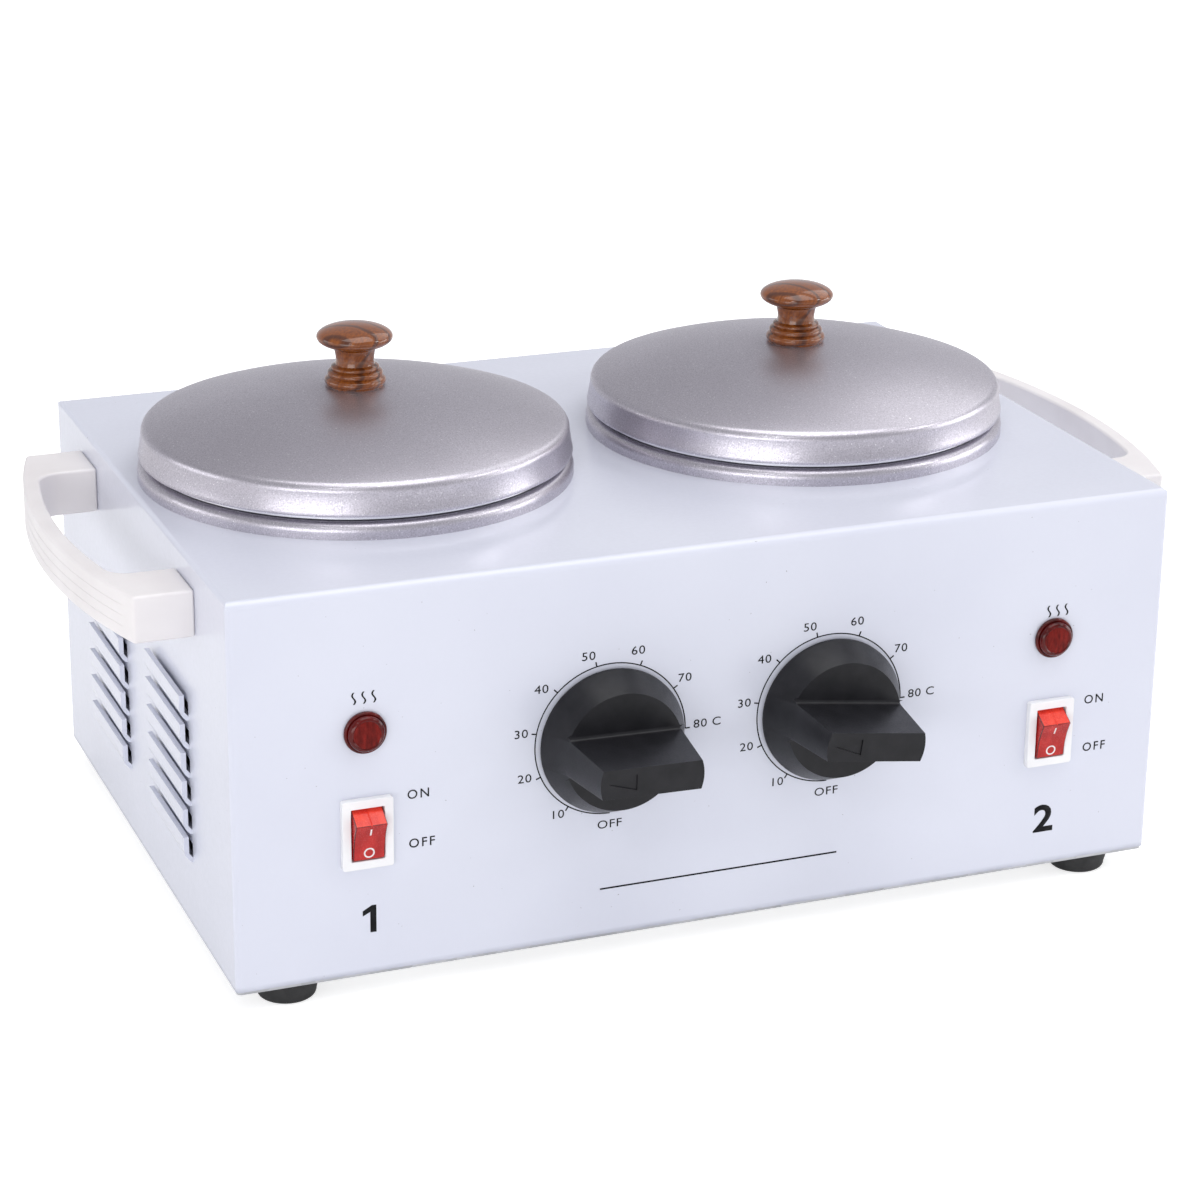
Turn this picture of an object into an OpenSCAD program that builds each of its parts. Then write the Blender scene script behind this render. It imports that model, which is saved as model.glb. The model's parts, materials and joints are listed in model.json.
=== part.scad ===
// Double wax warmer: a folded sheet housing with two heated wells, lift-out pots and domed lids.
// Millimetres, +Z up, the front faces -Y. The origin is at the bottom centre of the bounding box.

/* [Housing] */
// Width of the housing
body_w = 290; // [284:1:330]
// Depth of the housing
body_d = 200; // [196:1:240]
// Height of the housing
body_h = 116; // [112:1:140]
// Thickness of the painted sheet
sheet_t = 1; // [0.8:0.1:1.4]
// Inside radius of the bends along the front and back top edges
top_bend_r = 1.5; // [1:0.1:4]
// Inside radius of the other bends
side_bend_r = 0.3; // [0.2:0.1:1.5]
// Radius of the relief notch in the two front top corners
notch_r = 1.1; // [0.8:0.1:2]
// Width of the return lips along the bottom of the front and back
lip_w = 13; // [12:0.5:15]

/* [Louvres] */
// Length of a louvre
louvre_l = 45; // [40:1:60]
// Height of a louvre's hood
louvre_h = 8.2; // [6:0.1:8.4]
// How far a hood stands out of the side
louvre_out = 2.6; // [2.2:0.1:3.5]
// Height of the upright part of a hood under its lip
louvre_upright = 3.5; // [2.5:0.1:4.5]
// Width of the slit behind a hood's thick folded lip
louvre_gap = 1.1; // [0.8:0.1:1.3]
// How far the side reaches down behind the lip of a hood
louvre_lap = 2.2; // [1.6:0.1:2.8]
// Distance between the rows
louvre_pitch = 8.8; // [8:0.1:10]
// Number of rows
louvre_rows = 6; // [2:1:7]
// Height of the lowest slit above the housing's bottom edge
louvre_z = 29.4; // [20:0.2:34]
// Distance between the centres of the front and rear columns
louvre_spacing = 72.5; // [64:0.5:90]

/* [Base plate] */
// Thickness of the base plate
base_t = 1; // [0.8:0.1:2]
// How far the base plate stays inside the housing's outline
base_inset = 0.5; // [0.2:0.1:1]
// Shank diameter of the screws that hold the base plate
base_screw_d = 3; // [2.5:0.1:3.5]
// Distance between neighbouring base screws along a lip
base_screw_pitch = 84; // [70:1:90]
// Width of a vent slot
vent_w = 3; // [2:0.1:4]
// Length of a vent slot
vent_l = 30; // [20:1:40]
// Number of vent slots in a row under each well
vent_count = 5; // [3:1:6]
// Distance between vent slots
vent_pitch = 7; // [6:0.5:8]

/* [Feet] */
// Height of the rubber feet
foot_h = 6.5; // [6:0.1:12]
// Top diameter of a foot
foot_d = 19; // [17.5:0.5:24]
// Bottom diameter of a foot
foot_bottom_d = 17; // [15:0.5:17]
// Distance of the feet's centres from the housing's sides
foot_inset_x = 17.5; // [15:0.5:30]
// Distance of the feet's centres from the housing's front and back
foot_inset_y = 10.5; // [9.5:0.5:11]
// Depth of the pit for the screw's head
foot_pit = 3; // [2.6:0.1:4]
// Shank diameter of the screws in the feet
foot_screw_d = 4; // [3:0.1:4]
// Length of the screws in the feet
foot_screw_l = 9; // [8:0.5:14]

/* [Handles] */
// Length of a handle along the side
handle_l = 135; // [120:1:160]
// Height of a handle's section
handle_h = 14; // [10:0.5:18]
// Reach of a handle at its middle
handle_reach = 28; // [26:0.5:40]
// Reach of a handle at its ends
handle_end_reach = 17.5; // [15:0.5:20]
// Width of the end blocks
handle_block_w = 20; // [16:0.5:26]
// Thickness of the bow
handle_bow_t = 5; // [4:0.1:7]
// Fillet between an end block and the bow
handle_fillet_r = 7; // [4:0.5:8]
// Height of the handles' centre above the housing's bottom edge
handle_z = 102; // [96:0.5:104]
// Shank diameter of the screws in the handles
handle_screw_d = 4; // [3:0.1:5]
// Length of the screws in the handles
handle_screw_l = 14; // [10:0.5:14.5]

/* [Pots and wells] */
// Distance between the centres of the two wells
well_spacing = 144; // [140:1:148]
// Sideways offset of the pair of wells from the middle
well_shift = -4.5; // [-5:0.5:3]
// Outside diameter of a pot
pot_d = 108; // [100:0.5:110]
// Wall of a pot
pot_t = 1.2; // [0.8:0.1:2]
// Depth of a pot below its rim
pot_depth = 76; // [60:1:80]
// Diameter of a pot's rim
pot_rim_d = 125; // [122.5:0.5:126]
// Thickness of a pot's rim
pot_rim_t = 1; // [0.8:0.1:1.5]
// Radius of the curve at the bottom of a pot
pot_corner_r = 8; // [5:0.5:12]
// Gap between a pot and its well
well_gap = 0.6; // [0.4:0.1:1]
// Gap between the floors of a pot and its well
floor_gap = 1.5; // [1:0.1:3]
// Wall of a well
well_t = 1.5; // [1:0.1:2]
// Thickness of a well's floor
well_floor_t = 2; // [1.5:0.1:3]
// Diameter of a well's flange
flange_d = 130.6; // [129:0.2:134]
// Height of a well's flange above the top
flange_h = 5; // [4:0.1:7]
// Sheet thickness of a well's flange
flange_t = 1.4; // [1:0.1:2]
// Outside radius of the flange's shoulder
flange_r = 2.8; // [2.5:0.1:3.5]
// Clearance of a well in the hole in the top
well_hole_gap = 0.8; // [0.5:0.1:1]
// Diameter of the stud under a well
stud_d = 5; // [4:0.5:6]
// Height of the nut on a stud
nut_h = 4; // [3:0.1:5]
// Distance of the sensor pocket in front of a well's centre
pocket_y = 18; // [15:0.5:24]
// Length of the sensor pocket
pocket_l = 52; // [46:1:60]
// Wall of the sensor pocket
pocket_t = 1.4; // [1:0.1:2]

/* [Heaters] */
// Height of a band heater
heater_h = 38; // [32:1:42]
// Thickness of a band heater
heater_t = 3; // [2:0.1:3.5]
// Gap between a band heater and its well
heater_gap = 0.2; // [0.1:0.05:0.5]
// Distance from the underside of a well up to its heater
heater_lift = 9; // [8.5:0.5:12]
// Width of the split in the band
heater_split = 8; // [6:0.5:12]
// Thickness of a clamping lug
lug_t = 2; // [1.5:0.1:3]
// Reach of the clamping lugs
lug_reach = 12; // [11:0.5:15]
// Shank diameter of the clamp screws
clamp_screw_d = 4; // [3:0.1:5]

/* [Lids] */
// Diameter of a lid at its lower edge
lid_d = 130; // [129:0.5:132]
// Height of a lid without its knob
lid_h = 20.4; // [18:0.2:26]
// Height of the skirt up to the shoulder's centre
lid_skirt_h = 6.8; // [5:0.2:9]
// How much the skirt narrows towards the shoulder
lid_taper = 1; // [0.5:0.1:2]
// Outside radius of the shoulder
lid_shoulder_r = 3; // [2.5:0.1:4]
// Sheet thickness of a lid
lid_t = 1.2; // [0.8:0.1:1.6]
// Width of the hem turned in along the lower edge
hem_w = 4.5; // [4.4:0.1:6]
// Clearance between pieces that lift apart
seat_gap = 0.3; // [0.2:0.05:0.4]

/* [Lid knobs] */
// Height of a wooden knob
grip_h = 18.5; // [18:0.5:28]
// Diameter of the cap
grip_cap_d = 22.8; // [22:0.2:28]
// Diameter of the neck
grip_neck_d = 11.8; // [11:0.2:14]
// Diameter of the base
grip_base_d = 18.4; // [18:0.2:21]
// Shank diameter of the screw in a knob
grip_screw_d = 4; // [3:0.1:5]
// Depth of the screw in a knob
grip_screw_l = 12; // [9:0.5:13]
// Diameter of the washer under the lid
washer_d = 12; // [10:0.5:16]
// Thickness of the washer
washer_t = 0.8; // [0.5:0.1:1.2]

/* [Dials] */
// Sideways offset of the controls from the middle
panel_shift = 1; // [-3:0.5:3]
// Distance between the two dials
dial_spacing = 68.6; // [64:0.2:80]
// Height of the dials above the housing's bottom edge
dial_z = 61.3; // [54:0.1:64]
// Diameter of a dial at its back
dial_d = 43.6; // [42:0.2:48]
// Diameter of a dial at the floor of its recesses
dial_floor_d = 35.5; // [34:0.2:38]
// Diameter of a dial at its front face
dial_face_d = 31; // [28:0.2:33]
// Height of a dial
dial_l = 31; // [26:0.5:34]
// Height of the recess floors above the dial's back
dial_floor_l = 10; // [8:0.5:12]
// Thickness of the grip bar at its front
dial_bar_t = 8.6; // [8.2:0.2:12]
// Draft of the grip bar's flanks in degrees
dial_draft = 3; // [1:0.5:4]
// Gap between a dial and the panel
dial_gap = 0.8; // [0.5:0.1:1]
// Depth of the hollow in a dial's back
dial_hollow = 3.4; // [3:0.1:4]
// Diameter of the shaft
shaft_d = 6; // [6:0.1:6.4]
// Running clearance of a shaft or pin, on the radius
shaft_gap = 0.05; // [0.02:0.01:0.08]
// Distance from the tip of the shaft to the front of its dial
shaft_tip = 6; // [4:0.5:10]
// Angle of the left dial at rest, clockwise from off
dial_rest_left = 91.4; // [0:0.1:270]
// Angle of the right dial at rest, clockwise from off
dial_rest_right = 98; // [0:0.1:270]

/* [Thermostats] */
// Width of a thermostat
stat_w = 36; // [34:0.5:40]
// Height of a thermostat
stat_h = 42; // [38:0.5:46]
// Depth of a thermostat behind its bracket
stat_depth = 22; // [18:0.5:26]
// Distance of a thermostat's centre below its shaft
stat_drop = 2; // [0:0.5:4]
// Thickness of the bracket
bracket_t = 1.5; // [1:0.1:2]
// Width of the bracket
bracket_w = 40; // [38:0.5:44]
// Height of the bracket
bracket_h = 20; // [16:0.5:24]
// Distance between the two fixing screws
stat_screw_pitch = 28; // [28:0.5:29]
// Shank diameter of the fixing screws
stat_screw_d = 4; // [3:0.1:4.2]
// Length of the shaft inside the thermostat
shaft_grip = 12; // [8:0.5:14]

/* [Switches and lamps] */
// Distance between the left and right switches
column_spacing = 215; // [206:0.5:220]
// Height of the switches above the housing's bottom edge
switch_z = 43.7; // [36:0.1:46]
// Width of a switch's bezel
bezel_w = 15; // [14.8:0.1:17]
// Height of a switch's bezel
bezel_h = 21; // [20.8:0.1:24]
// Thickness of a bezel
bezel_t = 2.2; // [1.8:0.1:2.6]
// Width of the bezel outside the switch's case
bezel_edge = 1; // [0.7:0.1:1]
// Depth of a switch behind the panel
switch_depth = 20; // [18:0.5:24]
// Width of a rocker
rocker_w = 10.6; // [9.5:0.1:10.6]
// Half of the length of a rocker at its pivot
rocker_half_l = 8.6; // [8:0.1:8.6]
// Height of a rocker's ends above its pivot
rocker_rise = 6; // [5.5:0.1:7]
// Tilt of a rocker to either side in degrees
rocker_tilt = 16; // [12:0.5:17]
// Clearance around a rocker
rocker_gap = 0.3; // [0.25:0.05:0.3]
// Depth of a rocker's pivot behind the front of the panel
rocker_pivot = 1.5; // [1.2:0.1:2]
// Height of the lamps above the housing's bottom edge
lamp_z = 73.8; // [70:0.1:80]
// Diameter of a lamp's lens at the panel
lens_d = 12.4; // [12:0.1:15]
// Height of a lamp's lens
lens_h = 3.8; // [3:0.1:6]
// Diameter of a lamp's body
lamp_d = 9.8; // [9:0.1:10]
// Length of a lamp's body behind the panel
lamp_l = 24; // [18:0.5:28]

/* [Back] */
// Distance of the cable gland to the right of the middle, seen from the front
gland_x = 60; // [50:1:70]
// Height of the cable gland above the housing's bottom edge
gland_z = 26; // [24:0.5:34]
// Bore of the cable gland
gland_bore = 7; // [5:0.1:8]
// Diameter of the gland's thread
gland_d = 12; // [11.5:0.1:14]
// How far the gland stands out of the back
gland_out = 16; // [12:0.5:22]
// Length of the gland inside the back
gland_in = 9; // [8:0.5:12]

/* [Terminal block and wires] */
// Number of ways in the terminal block
block_ways = 6; // [6:2:8]
// Distance between the ways
way_pitch = 7; // [6.5:0.5:8]
// Depth of the terminal block
block_d = 16; // [14:0.5:20]
// Height of the terminal block
block_h = 14; // [12:0.5:18]
// Distance of the terminal block's centre from the back
block_back = 26; // [25:0.5:28]
// Diameter of a wire over its insulation
wire_d = 2.2; // [1.6:0.1:2.3]
// Diameter of the sensor's capillary tube
capillary_d = 1.8; // [1.4:0.1:2.2]
// Diameter of the sensor's bulb
bulb_d = 6; // [5:0.1:6.4]
// Diameter of the coil that the spare capillary makes
coil_d = 22; // [18:0.5:24]
// Width of a terminal tab
tab_w = 4.8; // [4:0.1:6.3]
// Thickness of a terminal tab
tab_t = 0.8; // [0.5:0.1:1]
// Length of a terminal tab
tab_l = 7; // [6:0.5:8]

/* [Hidden] */
$fn = 72;
left = -1;
right = 1;
front = -1;
rear = 1;
// A cutter reaches this far past the face that it cuts
over = 1;
// Clearance of a screw or stud in its hole, on the radius
screw_gap = 0.1;
// Size of a pan head against its shank's diameter
head_wide = 1.9;
head_high = 0.55;
// Corner radius of a hexagon nut against its stud's diameter
nut_wide = 0.92;

// Places of the housing
front_reach = dial_gap + dial_l;
mid_y = (front_reach - gland_out) / 2;
front_y = mid_y - body_d / 2;
back_y = mid_y + body_d / 2;
base_z = foot_h;
sheet_z = base_z + base_t;
top_z = sheet_z + body_h;
nut_r = stud_d * nut_wide;
nut_z = base_z - nut_h;

// Arcs of a handle
bow_rise = handle_reach - handle_end_reach;
bow_r = (handle_l * handle_l / 4 + bow_rise * bow_rise) / (2 * bow_rise);
bow_c = handle_reach - bow_r;
bow_in_r = bow_r - handle_bow_t;
bow_angle = asin(handle_l / 2 / bow_r);
gap_half_l = handle_l / 2 - handle_block_w;
fillet_y = gap_half_l - handle_fillet_r;
fillet_angle = asin(fillet_y / (bow_in_r - handle_fillet_r));
fillet_x = bow_c + (bow_in_r - handle_fillet_r) * cos(fillet_angle);

// Sizes of the wells, heaters and pots
well_in_r = pot_d / 2 + well_gap;
well_out_r = well_in_r + well_t;
flange_z = top_z + flange_h;
pot_z = flange_z + seat_gap - pot_depth;
well_z = pot_z - floor_gap - well_floor_t;
pocket_r = bulb_d / 2 + 0.2 + pocket_t;
pocket_z = well_z - pocket_r + 0.8;
pocket_mouth = 24;
pocket_end_t = 2;
bulb_l = pocket_l - pocket_end_t - 5;
heater_in_r = well_out_r + heater_gap;
heater_out_r = heater_in_r + heater_t;
heater_z = well_z + heater_lift;
lug_y = heater_out_r + lug_reach / 2 + 1;

// Sizes of the lids: the dome touches the shoulder's arc
lid_z = flange_z + 2 * seat_gap + pot_rim_t;
shoulder_c = lid_d / 2 - lid_taper - lid_shoulder_r;
dome_rise = lid_h - lid_skirt_h;
dome_r = (shoulder_c * shoulder_c + dome_rise * dome_rise - lid_shoulder_r * lid_shoulder_r)
    / (2 * (dome_rise - lid_shoulder_r));
// The dome is flat under its knob
lid_top = lid_h - dome_r + sqrt(dome_r * dome_r - grip_base_d * grip_base_d / 4);
washer_z = lid_h - dome_r + sqrt(pow(dome_r - lid_t, 2) - washer_d * washer_d / 4) - washer_t - 0.02;

// Sizes of the controls
stat_back = sheet_t + bracket_t + stat_depth;
stat_low = -stat_drop - stat_h / 2;
stat_tab_x = 9;
stat_tab_y = 6;
spout_l = 4;
shaft_in = sheet_t + bracket_t + shaft_grip;
shaft_out = dial_gap + dial_l - shaft_tip;
shaft_flat = shaft_d / 4;
dial_hollow_d = stat_screw_pitch + stat_screw_d * head_wide + 3;
case_w = bezel_w - 2 * bezel_edge;
case_h = bezel_h - 2 * bezel_edge;
case_gap = 0.1;
rocker_slot_w = rocker_w + 2 * rocker_gap;
rocker_slot_h = 2 * (rocker_half_l + rocker_gap);
rocker_slot_l = 12;
pin_r = 1;
pin_l = rocker_slot_w + 1;
switch_tab_pitch = 6;
lamp_tab_x = 2.5;
lamp_tab_l = 5;

// Sizes at the back
gland_hex_r = gland_d * 0.72;
gland_cap_d = gland_hex_r * 1.7;
ear_w = 8;
ear_h = 4;
block_w = block_ways * way_pitch + 2 * ear_w;
way_z = block_h / 2;
way_l = 4;
earth_x = -block_w / 2 - 11;

function well_x(side) = well_shift + side * well_spacing / 2;
function dial_x(side) = panel_shift + side * dial_spacing / 2;
function column_x(side) = panel_shift + side * column_spacing / 2;
function dial_rest(side) = side == left ? dial_rest_left : dial_rest_right;
function way_x(i) = (i - (block_ways - 1) / 2) * way_pitch;
function lug_heights() = [heater_h / 4, heater_h * 3 / 4];
// The heater's live and neutral tabs point between the wells, to the rear
function tab_angle(side, i) = side == left ? [20, 48][i] : [160, 132][i];

// Frames in which the pieces are drawn

// x to the right, y up and z out of the front panel
module on_front(x, z) {
    translate([x, front_y, sheet_z + z]) rotate([90, 0, 0]) children();
}

// x to the right and z out of the back panel
module on_back(x, z) {
    translate([x, back_y, sheet_z + z]) rotate([-90, 0, 0]) children();
}

// x out of the side, y along it and z up from the housing's bottom edge
module on_side(side) {
    mirror([side == left ? 1 : 0, 0, 0]) translate([body_w / 2, mid_y, sheet_z]) children();
}

module at_well(side, z) {
    translate([well_x(side), mid_y, z]) children();
}

module at_foot(x, y) {
    translate([
        x * (body_w / 2 - foot_inset_x),
        mid_y + y * (body_d / 2 - foot_inset_y),
        0
    ]) children();
}

module at_feet() {
    for (x = [left, right], y = [front, rear]) at_foot(x, y) children();
}

module at_base_screws() {
    for (i = [-1, 0, 1], y = [front, rear])
        translate([i * base_screw_pitch, mid_y + y * (body_d / 2 - sheet_t - lip_w / 2), 0]) children();
}

module at_block_screws() {
    for (s = [left, right])
        translate([s * (block_w - ear_w) / 2, back_y - block_back, 0]) children();
}

module at_handle_screws() {
    for (y = [front, rear]) translate([0, y * (handle_l - handle_block_w) / 2, handle_z]) children();
}

module at_louvres() {
    for (side = [left, right]) on_side(side)
        for (column = [front, rear], row = [0 : louvre_rows - 1])
            translate([0, column * louvre_spacing / 2, louvre_z + row * louvre_pitch]) children();
}

// Outlines and small shapes

// An outline that stands on the x axis, with its two upper corners rounded
module arched_outline(w, h, r) {
    translate([-w / 2, 0]) square([w, h - r]);
    translate([r - w / 2, 0]) square([w - 2 * r, h]);
    for (s = [-1, 1]) translate([s * (w / 2 - r), h - r]) circle(r = r);
}

module rounded_outline(w, d, r) {
    square([w, d - 2 * r], center = true);
    square([w - 2 * r, d], center = true);
    for (x = [-1, 1], y = [-1, 1]) translate([x * (w / 2 - r), y * (d / 2 - r)]) circle(r = r);
}

// A closed block with the bends of the folded sheet
module folded_block(w, d, h, r_top, r_side) {
    intersection() {
        translate([0, d / 2, 0]) rotate([90, 0, 0]) linear_extrude(d) arched_outline(w, h, r_side);
        translate([-w / 2, 0, 0]) rotate([90, 0, 90]) linear_extrude(w) arched_outline(d, h, r_top);
        linear_extrude(h) rounded_outline(w, d, r_side);
    }
}

// A hole along z through a sheet that lies between z = 0 and z = t
module sheet_hole(d, t) {
    translate([0, 0, -over]) cylinder(d = d, h = t + 2 * over);
}

// A pan head below z = 0, with its shank going up
module pan_screw(d, l) {
    h = d * head_high;
    cylinder(d = d, h = l);
    translate([0, 0, -h * 0.6]) cylinder(d = d * head_wide, h = h * 0.6);
    translate([0, 0, -h]) cylinder(d1 = d * head_wide * 0.7, d2 = d * head_wide, h = h * 0.4);
}

module hex_nut(r, bore_d, h) {
    difference() {
        cylinder(r = r, h = h, $fn = 6);
        sheet_hole(bore_d, h);
    }
}

// Points of an arc in a polygon
function arc(cx, cy, r, from, to, n) = [
    for (i = [0 : n]) let (a = from + (to - from) * i / n) [cx + r * cos(a), cy + r * sin(a)]
];

// Wires and tubes along a smooth route through points

function unit(v) = v / norm(v);

function heading(p, i) =
    i == 0 ? unit(p[1] - p[0])
    : i == len(p) - 1 ? unit(p[i] - p[i - 1])
    : unit(unit(p[i] - p[i - 1]) + unit(p[i + 1] - p[i]));

function blend(p, q, m, n, t) =
    (2 * t * t * t - 3 * t * t + 1) * p + (3 * t * t - 2 * t * t * t) * q
    + (t * t * t - 2 * t * t + t) * m + (t * t * t - t * t) * n;

// The bends reach about this far along a long straight stretch
bend_l = 18;

function smooth_route(p, step) = [
    for (i = [0 : len(p) - 2])
        let (l = norm(p[i + 1] - p[i]), m = min(l, bend_l), n = max(1, round(l / step)))
            for (k = [0 : n - 1]) blend(p[i], p[i + 1], m * heading(p, i), m * heading(p, i + 1), k / n),
    p[len(p) - 1]
];

function any_normal(t) = unit(cross(t, abs(t.z) < 0.8 ? [0, 0, 1] : [1, 0, 0]));

// Each ring's normal is the last one turned as little as the route allows
function normals(t, done = []) =
    len(done) == len(t) ? done
    : let (i = len(done))
        normals(t, concat(done, [
            i == 0 ? any_normal(t[0]) : unit(done[i - 1] - (done[i - 1] * t[i]) * t[i])
        ]));

module tube(points, d) {
    sides = 8;
    p = smooth_route(points, 3 * d);
    last = len(p) - 1;
    t = [for (i = [0 : last]) heading(p, i)];
    n = normals(t);
    rings = [
        for (i = [0 : last], k = [0 : sides - 1])
            let (a = 360 * k / sides)
                p[i] + d / 2 * (cos(a) * n[i] + sin(a) * cross(t[i], n[i]))
    ];
    walls = [
        for (i = [0 : last - 1], k = [0 : sides - 1], half = [0, 1])
            let (a = i * sides + k, b = i * sides + (k + 1) % sides)
                half == 0 ? [a, b + sides, b] : [a, a + sides, b + sides]
    ];
    caps = [
        [for (k = [0 : sides - 1]) k],
        [for (k = [sides - 1 : -1 : 0]) last * sides + k]
    ];
    polyhedron(rings, concat(caps, walls));
}

// The housing

// Outline of a hood: upright under the lip, then curving in to the side
module hood_outline() {
    sloped = louvre_h - louvre_upright;
    curve_r = (louvre_out * louvre_out + sloped * sloped) / (2 * louvre_out);
    translate([0, -louvre_upright]) square([louvre_out, louvre_upright]);
    intersection() {
        translate([louvre_out - curve_r, -louvre_upright]) circle(r = curve_r);
        translate([0, -louvre_h]) square([louvre_out, sloped]);
    }
}

// A pressed hood that ends in two halves of a turned shape
module louvre_hood() {
    straight = louvre_l / 2 - louvre_out;
    intersection() {
        union() {
            translate([0, straight, 0]) rotate([90, 0, 0]) linear_extrude(2 * straight) {
                hood_outline();
                translate([-sheet_t, -louvre_h]) square([sheet_t + 0.1, louvre_h]);
            }
            for (s = [-1, 1]) translate([0, s * straight, 0]) rotate_extrude() hood_outline();
        }
        translate([-sheet_t / 2, -louvre_l, -louvre_h]) cube([louvre_out + sheet_t, 2 * louvre_l, louvre_h]);
    }
}

// The way for the air through the side and up out of a hood
module louvre_slot() {
    straight = louvre_l / 2 - louvre_out;
    translate([0, straight, 0]) rotate([90, 0, 0]) linear_extrude(2 * straight) polygon([
        [-sheet_t - over, 1.6 - louvre_h],
        [0, 1.6 - louvre_h],
        [louvre_gap, 3 - louvre_h],
        [louvre_gap, over],
        [0, over],
        [0, -louvre_lap],
        [-sheet_t - over, -louvre_lap]
    ]);
}

module housing_shell() {
    folded_w = body_w - 2 * sheet_t - 2 * side_bend_r;
    translate([0, mid_y, sheet_z]) {
        difference() {
            folded_block(body_w, body_d, body_h, top_bend_r + sheet_t, side_bend_r + sheet_t);
            translate([0, 0, -over]) folded_block(
                body_w - 2 * sheet_t, body_d - 2 * sheet_t, body_h - sheet_t + over,
                top_bend_r, side_bend_r
            );
        }
        for (y = [front, rear])
            translate([-folded_w / 2, y * (body_d - sheet_t - lip_w) / 2 - lip_w / 2, 0])
                cube([folded_w, lip_w, sheet_t]);
    }
}

module housing() {
    color("aliceblue") difference() {
        union() {
            housing_shell();
            at_louvres() louvre_hood();
        }
        at_louvres() louvre_slot();
        for (side = [left, right]) {
            at_well(side, top_z - sheet_t) sheet_hole(2 * (well_out_r + well_hole_gap), sheet_t);
            on_front(dial_x(side), dial_z) translate([0, 0, -sheet_t]) {
                sheet_hole(shaft_d + 4, sheet_t);
                for (s = [-1, 1]) translate([s * stat_screw_pitch / 2, 0, 0])
                    sheet_hole(stat_screw_d + 2 * screw_gap, sheet_t);
            }
            on_front(column_x(side), lamp_z) translate([0, 0, -sheet_t])
                sheet_hole(lamp_d + 2 * screw_gap, sheet_t);
            on_front(column_x(side), switch_z) cube(
                [case_w + 2 * case_gap, case_h + 2 * case_gap, 2 * (sheet_t + over)], center = true
            );
            on_side(side) at_handle_screws() translate([-sheet_t, 0, 0]) rotate([0, 90, 0])
                sheet_hole(handle_screw_d + 2 * screw_gap, sheet_t);
            translate([side * body_w / 2, front_y, top_z]) sphere(r = notch_r);
        }
        on_back(gland_x, gland_z) translate([0, 0, -sheet_t]) sheet_hole(gland_d + 2 * screw_gap, sheet_t);
        at_base_screws() translate([0, 0, sheet_z]) sheet_hole(base_screw_d + 2 * screw_gap, sheet_t);
        at_feet() translate([0, 0, sheet_z]) sheet_hole(foot_screw_d + 1, sheet_t);
    }
}

// The base plate and feet

module base_plate() {
    row_y = vent_l / 2 + nut_r + 3;
    color("gainsboro") difference() {
        translate([0, mid_y, base_z]) linear_extrude(base_t)
            rounded_outline(body_w - 2 * base_inset, body_d - 2 * base_inset, side_bend_r + sheet_t);
        at_base_screws() translate([0, 0, base_z]) sheet_hole(base_screw_d + 2 * screw_gap, base_t);
        at_feet() translate([0, 0, base_z]) sheet_hole(foot_screw_d + 2 * screw_gap, base_t);
        at_block_screws() translate([0, 0, base_z]) sheet_hole(base_screw_d + 2 * screw_gap, base_t);
        translate([earth_x, back_y - block_back, base_z]) sheet_hole(stud_d + 2 * screw_gap, base_t);
        for (side = [left, right]) at_well(side, base_z) {
            sheet_hole(stud_d + 2 * screw_gap, base_t);
            for (i = [0 : vent_count - 1], y = [front, rear])
                translate([(i - (vent_count - 1) / 2) * vent_pitch, y * row_y, base_t / 2])
                    cube([vent_w, vent_l, base_t + 2 * over], center = true);
        }
    }
}

module base_screws() {
    color("silver") at_base_screws() translate([0, 0, base_z])
        pan_screw(base_screw_d, base_t + sheet_t + 5);
}

module foot(x, y) {
    pit_r = foot_screw_d * head_wide / 2 + 0.6;
    hole_r = foot_screw_d / 2 + screw_gap;
    color("dimgray") at_foot(x, y) rotate_extrude() polygon([
        [pit_r, 0],
        [foot_bottom_d / 2 - 0.8, 0],
        [foot_bottom_d / 2, 0.8],
        [foot_d / 2, foot_h - 1],
        [foot_d / 2, foot_h],
        [hole_r, foot_h],
        [hole_r, foot_pit],
        [pit_r, foot_pit]
    ]);
}

module foot_screws() {
    color("silver") at_feet() translate([0, 0, foot_pit]) pan_screw(foot_screw_d, foot_screw_l);
}

// The handles: an arched bow between two end blocks

module handle_outline() {
    polygon(concat(
        [[0, -handle_l / 2]],
        arc(bow_c, 0, bow_r, -bow_angle, bow_angle, 30),
        [[0, handle_l / 2], [0, gap_half_l]],
        arc(fillet_x, fillet_y, handle_fillet_r, 90, fillet_angle, 6),
        arc(bow_c, 0, bow_in_r, fillet_angle, -fillet_angle, 24),
        arc(fillet_x, -fillet_y, handle_fillet_r, -fillet_angle, -90, 6),
        [[0, -gap_half_l]]
    ));
}

module handle(side) {
    color("linen") on_side(side) difference() {
        translate([0, 0, handle_z - handle_h / 2]) linear_extrude(handle_h) handle_outline();
        at_handle_screws() translate([-over, 0, 0]) rotate([0, 90, 0])
            cylinder(d = handle_screw_d + 2 * screw_gap, h = handle_screw_l - sheet_t + over + screw_gap);
    }
}

module handle_screws() {
    color("silver") for (side = [left, right])
        on_side(side) at_handle_screws() translate([-sheet_t, 0, 0]) rotate([0, 90, 0])
            pan_screw(handle_screw_d, handle_screw_l);
}

// The wells, heaters and pots

// Half of a cup on the x axis, with a rounded bottom edge
module cup_outline(r, corner, h) {
    square([r - corner, corner]);
    translate([0, corner]) square([r, h - corner]);
    translate([r - corner, corner]) circle(r = corner);
}

// A formed ring with a rounded shoulder, from the x axis up
module flange_outline(r, corner, h) {
    square([r - corner, h]);
    square([r, h - corner]);
    intersection() {
        translate([r - corner, h - corner]) circle(r = corner);
        square([r, h]);
    }
}

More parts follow.
